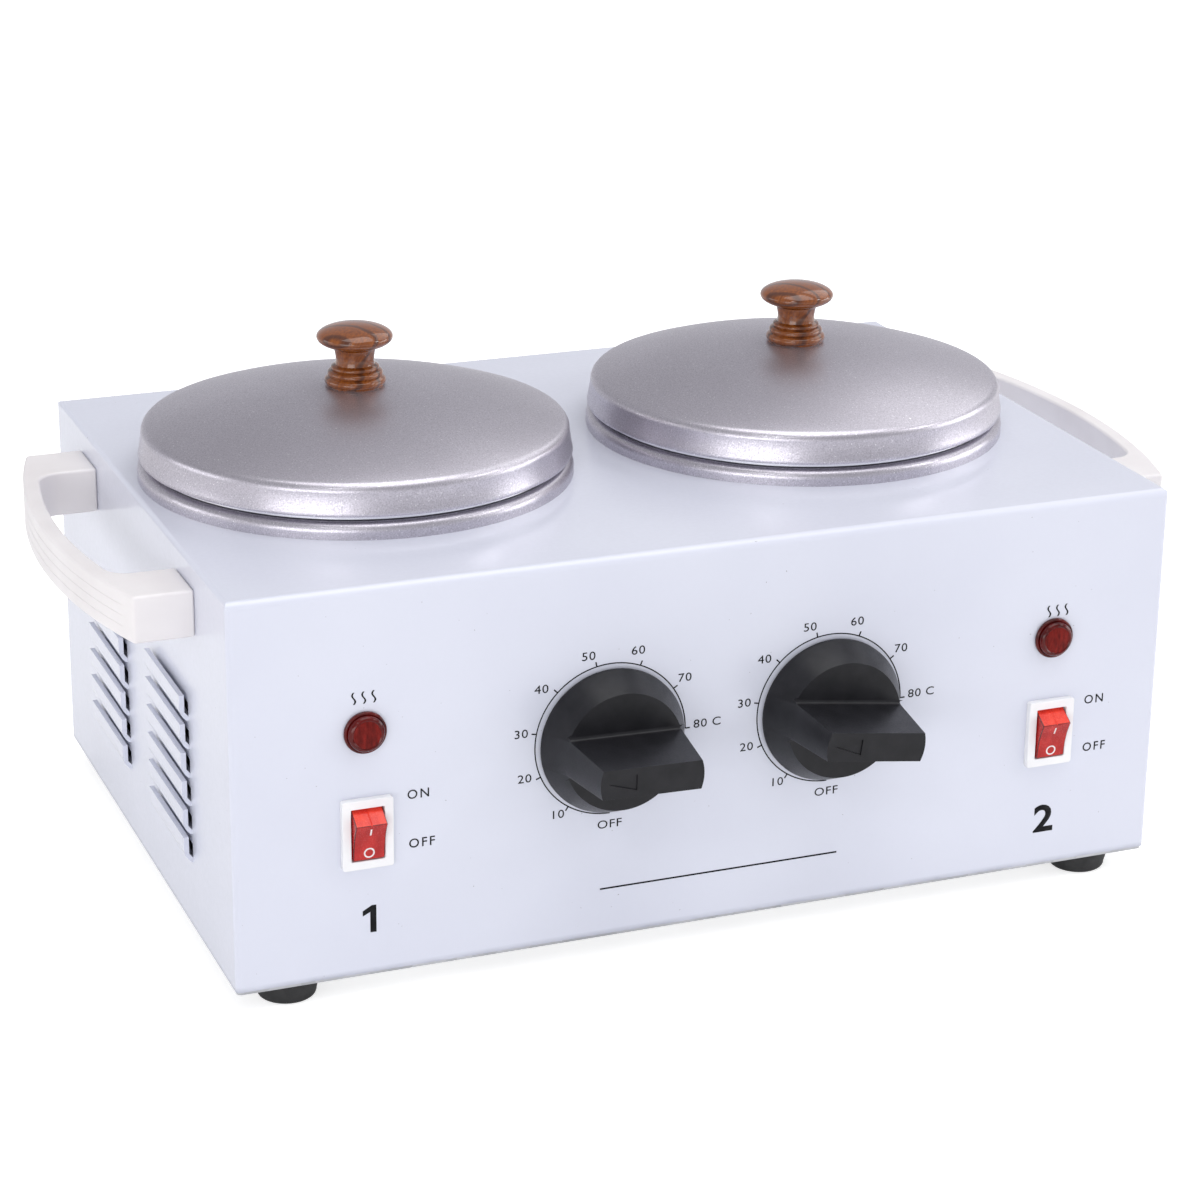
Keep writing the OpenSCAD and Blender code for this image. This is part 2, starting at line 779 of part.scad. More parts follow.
module well_outline() {
    in_corner = pot_corner_r + well_gap;
    difference() {
        union() {
            translate([0, well_z]) cup_outline(well_out_r, in_corner + well_t, flange_z - well_z);
            translate([0, top_z]) difference() {
                flange_outline(flange_d / 2, flange_r, flange_h);
                translate([0, -over])
                    flange_outline(flange_d / 2 - flange_t, flange_r - flange_t, flange_h - flange_t + over);
            }
        }
        translate([0, well_z + well_floor_t]) cup_outline(well_in_r, in_corner, flange_z - well_z);
    }
}

module well(side) {
    mouth_x = side * -pocket_mouth;
    color("silver") difference() {
        union() {
            at_well(side, 0) rotate_extrude() well_outline();
            at_well(side, nut_z - 0.5) cylinder(d = stud_d, h = well_z - nut_z + 1);
            at_well(side, pocket_z) translate([mouth_x, -pocket_y, 0]) rotate([0, side * 90, 0])
                cylinder(r = pocket_r, h = pocket_l);
        }
        at_well(side, pocket_z) translate([mouth_x, -pocket_y, 0]) rotate([0, side * 90, 0])
            translate([0, 0, -over]) cylinder(d = bulb_d + 0.4, h = pocket_l - pocket_end_t + over);
    }
}

module well_nuts() {
    color("gold") for (side = [left, right])
        at_well(side, nut_z) hex_nut(nut_r, stud_d + 2 * screw_gap, nut_h);
}

module heater(side) {
    lug_x = heater_split / 2 + lug_t;
    color("darkgray") at_well(side, heater_z) difference() {
        union() {
            cylinder(r = heater_out_r, h = heater_h);
            translate([-lug_x, 0, 0]) cube([2 * lug_x, heater_out_r + lug_reach, heater_h]);
            for (i = [0, 1]) rotate([0, 0, tab_angle(side, i)])
                translate([heater_out_r - 0.5, -tab_w / 2, heater_h / 2 - tab_t / 2])
                    cube([tab_l + 0.5, tab_w, tab_t]);
        }
        sheet_hole(2 * heater_in_r, heater_h);
        translate([-heater_split / 2, 0, -over])
            cube([heater_split, heater_out_r + lug_reach + over, heater_h + 2 * over]);
        for (z = lug_heights()) translate([-lug_x, lug_y, z]) rotate([0, 90, 0])
            sheet_hole(clamp_screw_d + 2 * screw_gap, 2 * lug_x);
    }
}

module clamp_screws() {
    lug_x = heater_split / 2 + lug_t;
    color("silver") for (side = [left, right], z = lug_heights())
        at_well(side, heater_z + z) translate([0, lug_y, 0]) {
            translate([-lug_x, 0, 0]) rotate([0, 90, 0]) pan_screw(clamp_screw_d, 2 * lug_x + 4);
            translate([lug_x, 0, 0]) rotate([0, 90, 0])
                hex_nut(clamp_screw_d * nut_wide, clamp_screw_d + 2 * screw_gap, 3);
        }
}

module pot(side) {
    color("silver") at_well(side, pot_z) rotate_extrude() difference() {
        union() {
            cup_outline(pot_d / 2, pot_corner_r, pot_depth + pot_rim_t);
            translate([0, pot_depth]) square([pot_rim_d / 2, pot_rim_t]);
        }
        translate([0, pot_t]) cup_outline(pot_d / 2 - pot_t, pot_corner_r - pot_t, pot_depth + pot_rim_t);
    }
}

// The lids and their knobs

// Half of a lid's outline, or of its hollow when the sheet's thickness is taken off
module lid_outline(t) {
    r = lid_d / 2 - t;
    fillet_r = lid_shoulder_r - t;
    touch_x = shoulder_c * (dome_r - t) / (dome_r - t - fillet_r);
    polygon([[0, 0], [r, 0], [r - lid_taper, lid_skirt_h], [0, lid_skirt_h]]);
    translate([shoulder_c, lid_skirt_h]) circle(r = fillet_r);
    intersection() {
        translate([0, lid_h - dome_r]) circle(r = dome_r - t, $fn = 360);
        translate([0, lid_skirt_h - 0.5]) square([touch_x, lid_h]);
    }
}

module lid(side) {
    color("lightgray") at_well(side, lid_z) difference() {
        rotate_extrude() intersection() {
            union() {
                difference() {
                    lid_outline(0);
                    translate([0, -0.01]) lid_outline(lid_t);
                }
                translate([lid_d / 2 - hem_w, 0]) square([hem_w - lid_t / 2, lid_t]);
            }
            square([lid_d, lid_top]);
        }
        translate([0, 0, lid_skirt_h]) cylinder(d = grip_screw_d + 2 * screw_gap, h = lid_h);
    }
}

// Half of a turned knob: three beads, a cove, the neck and a flattened cap
module grip_outline() {
    base_r = grip_base_d / 2;
    neck_r = grip_neck_d / 2;
    cap_r = grip_cap_d / 2;
    u = grip_h / 22;
    polygon(concat(
        [[0, 0], [base_r - 0.5, 0]],
        arc(base_r - 1.1 * u, 1.3 * u, 1.1 * u, -60, 80, 5),
        arc(base_r - 1.8 * u, 3.5 * u, u, -60, 80, 5),
        arc(base_r - 3 * u, 5.5 * u, u, -50, 70, 5),
        [[neck_r + 0.2, 7.6 * u], [neck_r, 9.2 * u], [neck_r + 0.2, 10.6 * u]],
        arc(neck_r + 3.4 * u, 10.4 * u, 3 * u, 170, 110, 5),
        arc(cap_r - 3.4 * u, 17 * u, 3.4 * u, -70, 62, 8),
        [[cap_r * 0.55, 21 * u], [cap_r * 0.3, 21.7 * u], [0, grip_h]]
    ));
}

module lid_knob(side) {
    color("saddlebrown") at_well(side, lid_z + lid_top) difference() {
        rotate_extrude() grip_outline();
        translate([0, 0, -over]) cylinder(d = grip_screw_d + 2 * screw_gap, h = grip_screw_l + over + 0.5);
    }
}

module lid_screw(side) {
    color("silver") at_well(side, lid_z + washer_z) {
        cylinder(d = washer_d, h = washer_t);
        pan_screw(grip_screw_d, lid_top - washer_z + grip_screw_l);
    }
}

// The thermostats, sensors and dials

module thermostat(side) {
    color("peru") on_front(dial_x(side), dial_z) difference() {
        union() {
            translate([-bracket_w / 2, -bracket_h / 2, -sheet_t - bracket_t])
                cube([bracket_w, bracket_h, bracket_t]);
            translate([-stat_w / 2, stat_low, -stat_back]) cube([stat_w, stat_h, stat_depth]);
            for (s = [-1, 1])
                translate([s * stat_tab_x - tab_w / 2, stat_tab_y - tab_t / 2, -stat_back - tab_l])
                    cube([tab_w, tab_t, tab_l + 0.5]);
            translate([0, stat_low + 0.5, stat_depth / 2 - stat_back]) rotate([90, 0, 0])
                cylinder(d = capillary_d + 3, h = spout_l + 0.5);
        }
        translate([0, 0, -shaft_in - 0.3]) cylinder(r = shaft_d / 2 + shaft_gap, h = shaft_in + over);
        for (s = [-1, 1]) translate([s * stat_screw_pitch / 2, 0, -sheet_t - bracket_t - 1.5])
            cylinder(d = stat_screw_d + 2 * screw_gap, h = bracket_t + 1.5 + over);
        translate([0, stat_low - spout_l - over, stat_depth / 2 - stat_back]) rotate([-90, 0, 0])
            cylinder(d = capillary_d + 0.2, h = spout_l);
    }
}

module thermostat_screws() {
    color("silver") for (side = [left, right], s = [-1, 1])
        on_front(dial_x(side), dial_z) translate([s * stat_screw_pitch / 2, 0, 0]) rotate([180, 0, 0])
            pan_screw(stat_screw_d, sheet_t + bracket_t + 1);
}

// The capillary goes down from the thermostat, winds its spare length and enters the pocket
module sensor(side) {
    exit = [
        dial_x(side),
        front_y + stat_back - stat_depth / 2,
        sheet_z + dial_z + stat_low - spout_l + 0.5
    ];
    mouth = [well_x(side) - side * pocket_mouth, mid_y - pocket_y, pocket_z];
    coil_c = [exit.x, exit.y + coil_d / 2 + 4, sheet_z + 7];
    turn = 12;
    coil = [
        for (i = [0 : 2 * turn + 2])
            let (a = -90 - side * i * 360 / turn)
                coil_c + [coil_d / 2 * cos(a), coil_d / 2 * sin(a), 4 * i / turn]
    ];
    color("orange") {
        tube(concat(
            [exit, exit - [0, 0, 6], exit + [0, 1, -14]],
            coil,
            [mouth + [-side * 14, -6, -12], mouth + [-side * 6, 0, 0], mouth + [side, 0, 0]]
        ), capillary_d);
        translate(mouth) rotate([0, side * 90, 0]) cylinder(d = bulb_d, h = bulb_l);
    }
}

module shaft_outline(r, flat) {
    intersection() {
        circle(r = r);
        translate([-r, -r]) square([2 * r, r + flat]);
    }
}

module dial_shaft(side) {
    round_out = dial_gap + dial_hollow + 1;
    color("silver") on_front(dial_x(side), dial_z) rotate([0, 0, -90 - dial_rest(side)]) {
        translate([0, 0, -shaft_in]) cylinder(d = shaft_d, h = shaft_in + round_out);
        linear_extrude(shaft_out) shaft_outline(shaft_d / 2, shaft_flat);
    }
}

// The dial's pointer lies along x, and its triangle's recess is at that end of the grip bar
module dial(side) {
    bar_root_t = dial_bar_t + 2 * (dial_l - dial_floor_l) * tan(dial_draft);
    color("darkslategray") on_front(dial_x(side), dial_z) rotate([0, 0, -90 - dial_rest(side)])
        translate([0, 0, dial_gap]) difference() {
            rotate_extrude() polygon([
                [0, 0], [dial_d / 2 - 0.3, 0], [dial_d / 2, 0.3], [dial_d / 2, 1.6],
                [dial_floor_d / 2, dial_floor_l], [dial_face_d / 2, dial_l], [0, dial_l]
            ]);
            for (s = [0, 180]) rotate([0, 0, s]) translate([-dial_d, bar_root_t / 2, dial_floor_l])
                rotate([dial_draft, 0, 0]) cube([2 * dial_d, dial_d, 2 * dial_l]);
            translate([0, 0, -over]) cylinder(d = dial_hollow_d, h = dial_hollow + over);
            cylinder(r = shaft_d / 2 + shaft_gap, h = dial_hollow + 1.2);
            linear_extrude(shaft_out - dial_gap + 0.5)
                shaft_outline(shaft_d / 2 + shaft_gap, shaft_flat + shaft_gap);
            translate([dial_face_d / 2 - 12.5, -dial_bar_t / 2 + 1.3, dial_l - 0.4])
                cube([9.5, dial_bar_t - 2.6, over]);
        }
}

// The switches and lamps

// A rocker's section, with x along its height and y along its length
module rocker_outline() {
    end_y = rocker_half_l - rocker_rise * tan(rocker_tilt);
    edge = 0.4;
    sag = 0.8;
    face_r = (end_y * end_y + sag * sag) / (2 * sag);
    face_angle = asin(end_y / face_r);
    polygon(concat(
        [[-3, -rocker_half_l + 2.4], [0, -rocker_half_l], [rocker_rise - edge, -end_y - edge / 4]],
        arc(rocker_rise - sag + face_r, 0, face_r, 180 + face_angle, 180 - face_angle, 10),
        [[rocker_rise - edge, end_y + edge / 4], [0, rocker_half_l], [-3, rocker_half_l - 2.4]]
    ));
}

module rocker(side) {
    color("orangered") on_front(column_x(side), switch_z) translate([0, 0, -rocker_pivot])
        rotate([rocker_tilt, 0, 0]) {
            translate([-rocker_w / 2, 0, 0]) rotate([90, 0, 90]) linear_extrude(rocker_w)
                mirror([1, -1]) rocker_outline();
            rotate([0, 90, 0]) cylinder(r = pin_r, h = pin_l, center = true);
        }
}

module switch(side) {
    edge = 0.6;
    color("white") on_front(column_x(side), switch_z) {
        difference() {
            union() {
                linear_extrude(bezel_t - edge) rounded_outline(bezel_w, bezel_h, 0.8);
                linear_extrude(bezel_t) rounded_outline(bezel_w - edge, bezel_h - edge, 0.5);
                translate([-case_w / 2, -case_h / 2, -switch_depth])
                    cube([case_w, case_h, switch_depth + bezel_t / 2]);
            }
            translate([-rocker_slot_w / 2, -rocker_slot_h / 2, bezel_t - rocker_slot_l])
                cube([rocker_slot_w, rocker_slot_h, rocker_slot_l + over]);
            translate([0, 0, -rocker_pivot]) rotate([0, 90, 0])
                cylinder(r = pin_r + shaft_gap, h = pin_l + 0.2, center = true);
        }
        for (i = [-1, 0, 1])
            translate([-tab_w / 2, i * switch_tab_pitch - tab_t / 2, -switch_depth - tab_l])
                cube([tab_w, tab_t, tab_l + 0.5]);
    }
}

module lamp_lens(side) {
    rim_r = 0.4;
    edge_r = 0.8;
    color("darkred") on_front(column_x(side), lamp_z) rotate_extrude() difference() {
        union() {
            square([lens_d / 2 - rim_r, 0.9 + rim_r]);
            square([lens_d / 2, 0.9]);
            translate([lens_d / 2 - rim_r, 0.9]) circle(r = rim_r);
            square([lamp_d / 2, lens_h - edge_r]);
            square([lamp_d / 2 - edge_r, lens_h]);
            translate([lamp_d / 2 - edge_r, lens_h - edge_r]) circle(r = edge_r);
        }
        translate([0, -over]) square([lamp_d / 2 - 1.2, lens_h - 1.2 + over]);
    }
}

module lamp_body(side) {
    color("white") on_front(column_x(side), lamp_z) {
        translate([0, 0, -lamp_l]) cylinder(d = lamp_d, h = lamp_l);
        cylinder(r = 2, h = lens_h - 1.6);
        for (s = [-1, 1]) translate([s * lamp_tab_x - tab_t / 2, -1.5, -lamp_l - lamp_tab_l])
            cube([tab_t, 3, lamp_tab_l + 0.5]);
    }
}

module lamp_nuts() {
    nut_t = 2;
    color("dimgray") for (side = [left, right])
        on_front(column_x(side), lamp_z) translate([0, 0, -sheet_t - nut_t]) difference() {
            cylinder(d = lamp_d + 6, h = nut_t);
            sheet_hole(lamp_d + 2 * screw_gap, nut_t);
        }
}

// The back and the electrics

module cable_gland() {
    color("black") on_back(gland_x, gland_z) difference() {
        union() {
            translate([0, 0, -gland_in]) cylinder(d = gland_d, h = gland_in + 1);
            cylinder(r = gland_hex_r, h = 5, $fn = 6);
            translate([0, 0, 4.5]) cylinder(d = gland_cap_d, h = gland_out - 8);
            translate([0, 0, gland_out - 3.5]) cylinder(d1 = gland_cap_d, d2 = gland_bore + 3, h = 3.5);
        }
        translate([0, 0, -gland_in]) sheet_hole(gland_bore, gland_in + gland_out);
    }
}

module gland_nut() {
    nut_t = 3.5;
    color("black") on_back(gland_x, gland_z) translate([0, 0, -sheet_t - nut_t])
        hex_nut(gland_hex_r, gland_d + 2 * screw_gap, nut_t);
}

module terminal_block() {
    core_w = block_w - 2 * ear_w;
    color("ivory") translate([0, back_y - block_back, sheet_z]) difference() {
        union() {
            translate([-block_w / 2, -block_d / 2, 0]) cube([block_w, block_d, ear_h]);
            translate([-core_w / 2, -block_d / 2, 0]) cube([core_w, block_d, block_h]);
        }
        for (s = [-1, 1]) translate([s * (block_w - ear_w) / 2, 0, 0])
            sheet_hole(base_screw_d + 2 * screw_gap, ear_h);
        for (i = [0 : block_ways - 1], s = [-1, 1]) translate([way_x(i), s * block_d / 2, 0]) {
            translate([0, -s * 4, block_h - 3]) cylinder(r = 1.6, h = 3 + over);
            translate([0, s * over, way_z]) rotate([s * 90, 0, 0])
                cylinder(d = wire_d + 0.4, h = way_l + over);
        }
    }
}

module terminal_screws() {
    color("silver") at_block_screws() translate([0, 0, sheet_z + ear_h]) rotate([180, 0, 0])
        pan_screw(base_screw_d, ear_h + base_t + 2.5);
}

module earth_stud() {
    head_t = 2;
    color("gold") translate([earth_x, back_y - block_back, base_z]) {
        translate([0, 0, -head_t]) cylinder(r = nut_r, h = head_t, $fn = 6);
        translate([0, 0, -head_t / 2]) cylinder(d = stud_d, h = 12);
        translate([0, 0, base_t]) cylinder(r = nut_r, h = nut_h, $fn = 6);
    }
}

// Ends of the wires, just off the end face of a tab or inside a way of the block
tip_gap = 0.2;
pair_x = wire_d / 2 + 0.15;

function switch_tip(side, i) = [
    column_x(side),
    front_y + switch_depth + tab_l + tip_gap,
    sheet_z + switch_z + i * switch_tab_pitch
];
function stat_tip(side, s) = [
    dial_x(side) + s * stat_tab_x,
    front_y + stat_back + tab_l + tip_gap,
    sheet_z + dial_z + stat_tab_y
];
function lamp_tip(side, s) = [
    column_x(side) + s * lamp_tab_x,
    front_y + lamp_l + lamp_tab_l + tip_gap,
    sheet_z + lamp_z
];
function block_tip(side, k) = [
    side * (k + 0.5) * way_pitch,
    back_y - block_back - block_d / 2 + way_l - tip_gap,
    sheet_z + way_z
];
function heater_tip(side, i, out, drop) =
    let (a = tab_angle(side, i), r = heater_out_r + tab_l + tip_gap + out)
        [well_x(side) + r * cos(a), mid_y + r * sin(a), heater_z + heater_h / 2 - drop];

// A wire leaves a tip along y, towards the rear from a tab and to the front from the block
function from_tab(tip) = [tip, tip + [0, 3.5, 0]];
function from_block(side, k, z) =
    let (tip = block_tip(side, k)) [tip, tip - [0, 5, 0], [tip.x, tip.y - 12, z]];
function from_heater(side, i) = [
    heater_tip(side, i, 0, 0), heater_tip(side, i, 3, 0), heater_tip(side, i, 6, 3),
    heater_tip(side, i, 6.5, 10)
];

function reversed(p) = [for (i = [len(p) - 1 : -1 : 0]) p[i]];

// Feed to the switch, switch to thermostat, thermostat to heater, heater back, and the lamp's two wires
module wiring(side) {
    low = sheet_z + 5;
    lane_x = well_shift + side * 6;
    outer = column_x(side);
    feed_y = front_y + 46;
    back_lane_y = front_y + 54;
    feed_x = block_tip(side, 0).x;
    lamp_x = block_tip(side, 1).x;
    heater_x = block_tip(side, 2).x;
    stat_in = stat_tip(side, side);
    stat_out = stat_tip(side, -side);
    color("firebrick") {
        tube(concat(
            from_block(side, 0, low),
            [
                [feed_x, feed_y + 12, low], [feed_x + side * 10, feed_y, low],
                [outer - side * 14, feed_y, low], [outer, feed_y - 2, low + 14],
                switch_tip(side, -1) + [0, 9, -10]
            ],
            reversed(from_tab(switch_tip(side, -1)))
        ), wire_d);
        tube(concat(
            from_tab(switch_tip(side, 1)),
            [
                [outer - side * 14, stat_in.y + 2, switch_tip(side, 1).z - 4],
                [stat_in.x + side * 12, stat_in.y + 4, stat_in.z - 12]
            ],
            reversed(from_tab(stat_in))
        ), wire_d);
        tube(concat(
            from_tab(stat_out - [side * pair_x, 0, 0]),
            [
                [lane_x + side * 6, stat_out.y + 24, stat_out.z - 9],
                [lane_x, mid_y - 20, stat_out.z - 17],
                [lane_x, mid_y + 6, stat_out.z - 17]
            ],
            reversed(from_heater(side, 0))
        ), wire_d);
        tube(concat(
            from_heater(side, 1),
            [[heater_x + side * 3, block_tip(side, 2).y - 14, low + 26]],
            reversed(from_block(side, 2, low + 6))
        ), wire_d);
        tube(concat(
            from_tab(lamp_tip(side, -side)),
            [
                [outer - side * 18, stat_out.y + 3, sheet_z + lamp_z + 3],
                [stat_in.x, stat_out.y + 4, stat_out.z + 13],
                [stat_out.x + side * 8, stat_out.y + 5, stat_out.z + 9]
            ],
            reversed(from_tab(stat_out + [side * pair_x, 0, 0]))
        ), wire_d);
        tube(concat(
            from_tab(lamp_tip(side, side)),
            [
                [outer + side * 7, feed_y - 8, sheet_z + lamp_z - 8],
                [outer + side * 9, feed_y, sheet_z + switch_z],
                [outer + side * 4, back_lane_y - 2, low + 10],
                [outer - side * 8, back_lane_y, low],
                [lamp_x + side * 10, back_lane_y, low],
                [lamp_x, back_lane_y + 12, low]
            ],
            reversed(from_block(side, 1, low))
        ), wire_d);
    }
}

housing();
base_plate();
base_screws();
foot(left, front);  // front_left_foot
foot(right, front);  // front_right_foot
foot(left, rear);  // rear_left_foot
foot(right, rear);  // rear_right_foot
foot_screws();
handle(left);  // left_handle
handle(right);  // right_handle
handle_screws();
well(left);  // left_well
well(right);  // right_well
well_nuts();
heater(left);  // left_heater
heater(right);  // right_heater
clamp_screws();
pot(left);  // left_pot
pot(right);  // right_pot
lid(left);  // left_lid
lid(right);  // right_lid
lid_knob(left);  // left_lid_knob
lid_knob(right);  // right_lid_knob
lid_screw(left);  // left_lid_screw
lid_screw(right);  // right_lid_screw
thermostat(left);  // left_thermostat
thermostat(right);  // right_thermostat
thermostat_screws();
sensor(left);  // left_sensor
sensor(right);  // right_sensor
dial_shaft(left);  // left_dial_shaft
dial_shaft(right);  // right_dial_shaft
dial(left);  // left_dial
dial(right);  // right_dial
switch(left);  // left_switch
switch(right);  // right_switch
rocker(left);  // left_rocker
rocker(right);  // right_rocker
lamp_lens(left);  // left_lamp_lens
lamp_lens(right);  // right_lamp_lens
lamp_body(left);  // left_lamp_body
lamp_body(right);  // right_lamp_body
lamp_nuts();
cable_gland();
gland_nut();
terminal_block();
terminal_screws();
earth_stud();
wiring(left);  // left_wiring
wiring(right);  // right_wiring
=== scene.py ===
# %% [markdown]
# # Double wax warmer, dressed
# The warmer is a folded white sheet housing with two heated wells, two domed lids on pots, two dials and
# two lit switches. Its solids arrive from the drawing as a fixed frame, in metres and at their real places.
# The frame is loaded first, because every piece below takes its place and its body from it.

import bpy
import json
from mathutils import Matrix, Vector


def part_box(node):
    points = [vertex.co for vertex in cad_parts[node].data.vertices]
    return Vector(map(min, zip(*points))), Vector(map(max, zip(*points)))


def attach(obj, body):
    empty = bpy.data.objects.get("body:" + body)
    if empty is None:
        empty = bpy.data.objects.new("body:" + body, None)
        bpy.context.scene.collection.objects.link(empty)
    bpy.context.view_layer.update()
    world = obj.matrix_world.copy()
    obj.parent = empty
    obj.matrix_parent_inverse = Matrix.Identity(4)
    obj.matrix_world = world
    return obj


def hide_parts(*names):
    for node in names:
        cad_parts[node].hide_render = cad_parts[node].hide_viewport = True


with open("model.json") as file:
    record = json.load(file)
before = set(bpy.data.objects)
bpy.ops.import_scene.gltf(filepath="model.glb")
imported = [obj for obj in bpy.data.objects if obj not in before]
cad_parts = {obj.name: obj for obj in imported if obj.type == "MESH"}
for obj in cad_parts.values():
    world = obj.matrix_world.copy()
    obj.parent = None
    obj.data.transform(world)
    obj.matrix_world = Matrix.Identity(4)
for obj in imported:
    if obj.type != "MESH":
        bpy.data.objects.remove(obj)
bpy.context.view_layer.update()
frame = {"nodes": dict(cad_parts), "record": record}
nodes = frame["nodes"]

# %% [markdown]
# ## Measures shared by all pieces
# A maker thinks in millimetres and Blender works in metres, so lengths are written in millimetres and
# scaled in one place. The main planes are read from the frame's boxes, so a changed drawing carries the
# pieces with it.

# %% Places taken from the frame
import json
import math

import bmesh
import bpy
from mathutils import Matrix, Vector

MM = 0.001


def corners(node):
    low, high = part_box(node)
    return low / MM, high / MM


def middle(node):
    low, high = corners(node)
    return (low + high) / 2


SIDES = ("left", "right")
base_low, base_high = corners("base_plate")
SHEET_GAP = 0.5
front_y = base_low.y - SHEET_GAP
side_x = base_high.x + SHEET_GAP
mid_y = (base_low.y + base_high.y) / 2
well = {side: middle(side + "_lid") for side in SIDES}
print("front panel at y", round(front_y, 2), "sides at x", round(side_x, 2))

# %% [markdown]
# ## Working by hand, in code
# The operators act on whatever is selected, as they do under the mouse. So each piece starts with nothing
# selected, and in edit mode the parts to work on are picked by their place or by the way they face.

# %% Start, pick, copy and apply


def only(piece):
    if bpy.context.object and bpy.context.object.mode != "OBJECT":
        bpy.ops.object.mode_set(mode="OBJECT")
    bpy.ops.object.select_all(action="DESELECT")
    piece.select_set(True)
    bpy.context.view_layer.objects.active = piece


def start(add, at=(0, 0, 0), **size):
    """Adds a primitive at a place in millimetres and opens it for editing, all selected."""
    if bpy.context.object and bpy.context.object.mode != "OBJECT":
        bpy.ops.object.mode_set(mode="OBJECT")
    bpy.ops.object.select_all(action="DESELECT")
    add(location=Vector(at) * MM, **size)
    bpy.ops.object.transform_apply(location=True, rotation=True, scale=True)
    bpy.ops.object.mode_set(mode="EDIT")
    bpy.ops.mesh.select_mode(type="VERT")
    bpy.ops.mesh.select_all(action="SELECT")
    return bpy.context.object


def pick(kind, test):
    """Selects the vertices, edges or faces whose middle (in millimetres) and direction pass the test."""
    bpy.ops.mesh.select_mode(type=kind)
    bpy.ops.mesh.select_all(action="DESELECT")
    mesh = bpy.context.object.data
    shape = bmesh.from_edit_mesh(mesh)
    for part in {"VERT": shape.verts, "EDGE": shape.edges, "FACE": shape.faces}[kind]:
        if kind == "EDGE":
            ends = [corner.co for corner in part.verts]
            hit = test((ends[0] + ends[1]) / 2 / MM, (ends[1] - ends[0]).normalized())
        elif kind == "FACE":
            hit = test(part.calc_center_median() / MM, part.normal)
        else:
            hit = test(part.co / MM, part.normal)
        part.select_set(bool(hit))
    shape.select_flush_mode()
    bmesh.update_edit_mesh(mesh)


def close_edit(piece):
    """Merges doubles, turns the faces outwards and leaves edit mode."""
    bpy.ops.mesh.select_all(action="SELECT")
    bpy.ops.mesh.remove_doubles(threshold=0.002 * MM)
    bpy.ops.mesh.normals_make_consistent(inside=False)
    only(piece)
    return piece


def applied(piece, kind, **settings):
    only(piece)
    modifier = piece.modifiers.new(kind.title(), kind)
    for name, value in settings.items():
        setattr(modifier, name, value)
    bpy.ops.object.modifier_apply(modifier=modifier.name)
    return piece


def cut(piece, cutter):
    applied(piece, "BOOLEAN", operation="DIFFERENCE", solver="EXACT", object=cutter)
    bpy.data.objects.remove(cutter)


def softened(piece, width, segments=2, angle=32):
    """Bevels every edge that turns by more than an angle in degrees."""
    limit = {"limit_method": "ANGLE", "angle_limit": math.radians(angle)}
    return applied(piece, "BEVEL", width=width * MM, segments=segments, **limit)


def shaded(piece, angle=32, even=True):
    only(piece)
    bpy.ops.object.shade_smooth_by_angle(angle=math.radians(angle))
    if even:
        applied(piece, "WEIGHTED_NORMAL", keep_sharp=True)
    return piece


def put(piece, move=(0, 0, 0), turn=(0, 0, 0), copy=False):
    """Moves and turns a piece about the origin, and applies its place to its mesh."""
    only(piece)
    if copy:
        bpy.ops.object.duplicate(linked=False)
        piece = bpy.context.object
    piece.matrix_world = Matrix.Translation(Vector(move) * MM) @ turned(turn)
    bpy.ops.object.transform_apply(location=True, rotation=True, scale=True)
    return piece


def turned(turn):
    """A turn about x, then y, then z, in degrees."""
    spun_x, spun_y, spun_z = (Matrix.Rotation(math.radians(a), 4, axis) for a, axis in zip(turn, "XYZ"))
    return spun_z @ spun_y @ spun_x


def joined(pieces):
    only(pieces[0])
    for piece in pieces[1:]:
        piece.select_set(True)
    if len(pieces) > 1:
        bpy.ops.object.join()
    return bpy.context.object


# %% [markdown]
# ## Turned pieces
# Lids, knobs, dials, lenses and feet are all round. On a lathe the tool follows an outline while the stock
# turns. Here one vertex is extruded from point to point of that outline, and Spin carries it round the
# axis.

# %% Outlines and the lathe


def arc(centre, radius, first, last, count=8):
    """Points on a circle, from one angle to another in degrees."""
    angles = [math.radians(first + (last - first) * i / count) for i in range(count + 1)]
    return [(centre[0] + radius * math.cos(a), centre[1] + radius * math.sin(a)) for a in angles]


def trace(points):
    """Extrudes one vertex along a path of points in millimetres."""
    points = [Vector(point) for point in points]
    piece = start(bpy.ops.mesh.primitive_plane_add, at=points[0], size=MM)
    bpy.ops.mesh.merge(type="CENTER")
    for here, there in zip(points, points[1:]):
        bpy.ops.mesh.extrude_region_move(TRANSFORM_OT_translate={"value": (there - here) * MM})
    return piece


def lathed(outline, steps=96, closed=False):
    """Spins an outline of (radius, height) points about the z axis."""
    path = outline + outline[:1] if closed else outline
    piece = trace([(radius, 0, height) for radius, height in path])
    bpy.ops.mesh.select_all(action="SELECT")
    bpy.ops.mesh.spin(steps=steps, angle=2 * math.pi, center=(0, 0, 0), axis=(0, 0, 1))
    return close_edit(piece)


def rod(radius, length, at, turn=(0, 0, 0), sides=24):
    """A plain round bar to cut holes with. It never stays in the scene."""
    only(nodes["housing"])
    bpy.ops.object.select_all(action="DESELECT")
    bpy.ops.mesh.primitive_cylinder_add(vertices=sides, radius=radius * MM, depth=length * MM)
    return put(bpy.context.object, move=at, turn=turn)


FACING_FRONT = (90, 0, 0)
print("lathe ready, one full turn in", 96, "steps")

# %% [markdown]
# ## Finishes as written sums
# A procedural finish is a chain of small nodes. Sums read best as sums, so a tiny class wraps a socket and
# lets Python's own signs add the Math nodes. A second class holds one material and adds any other node.

# %% Sockets that can be multiplied and compared


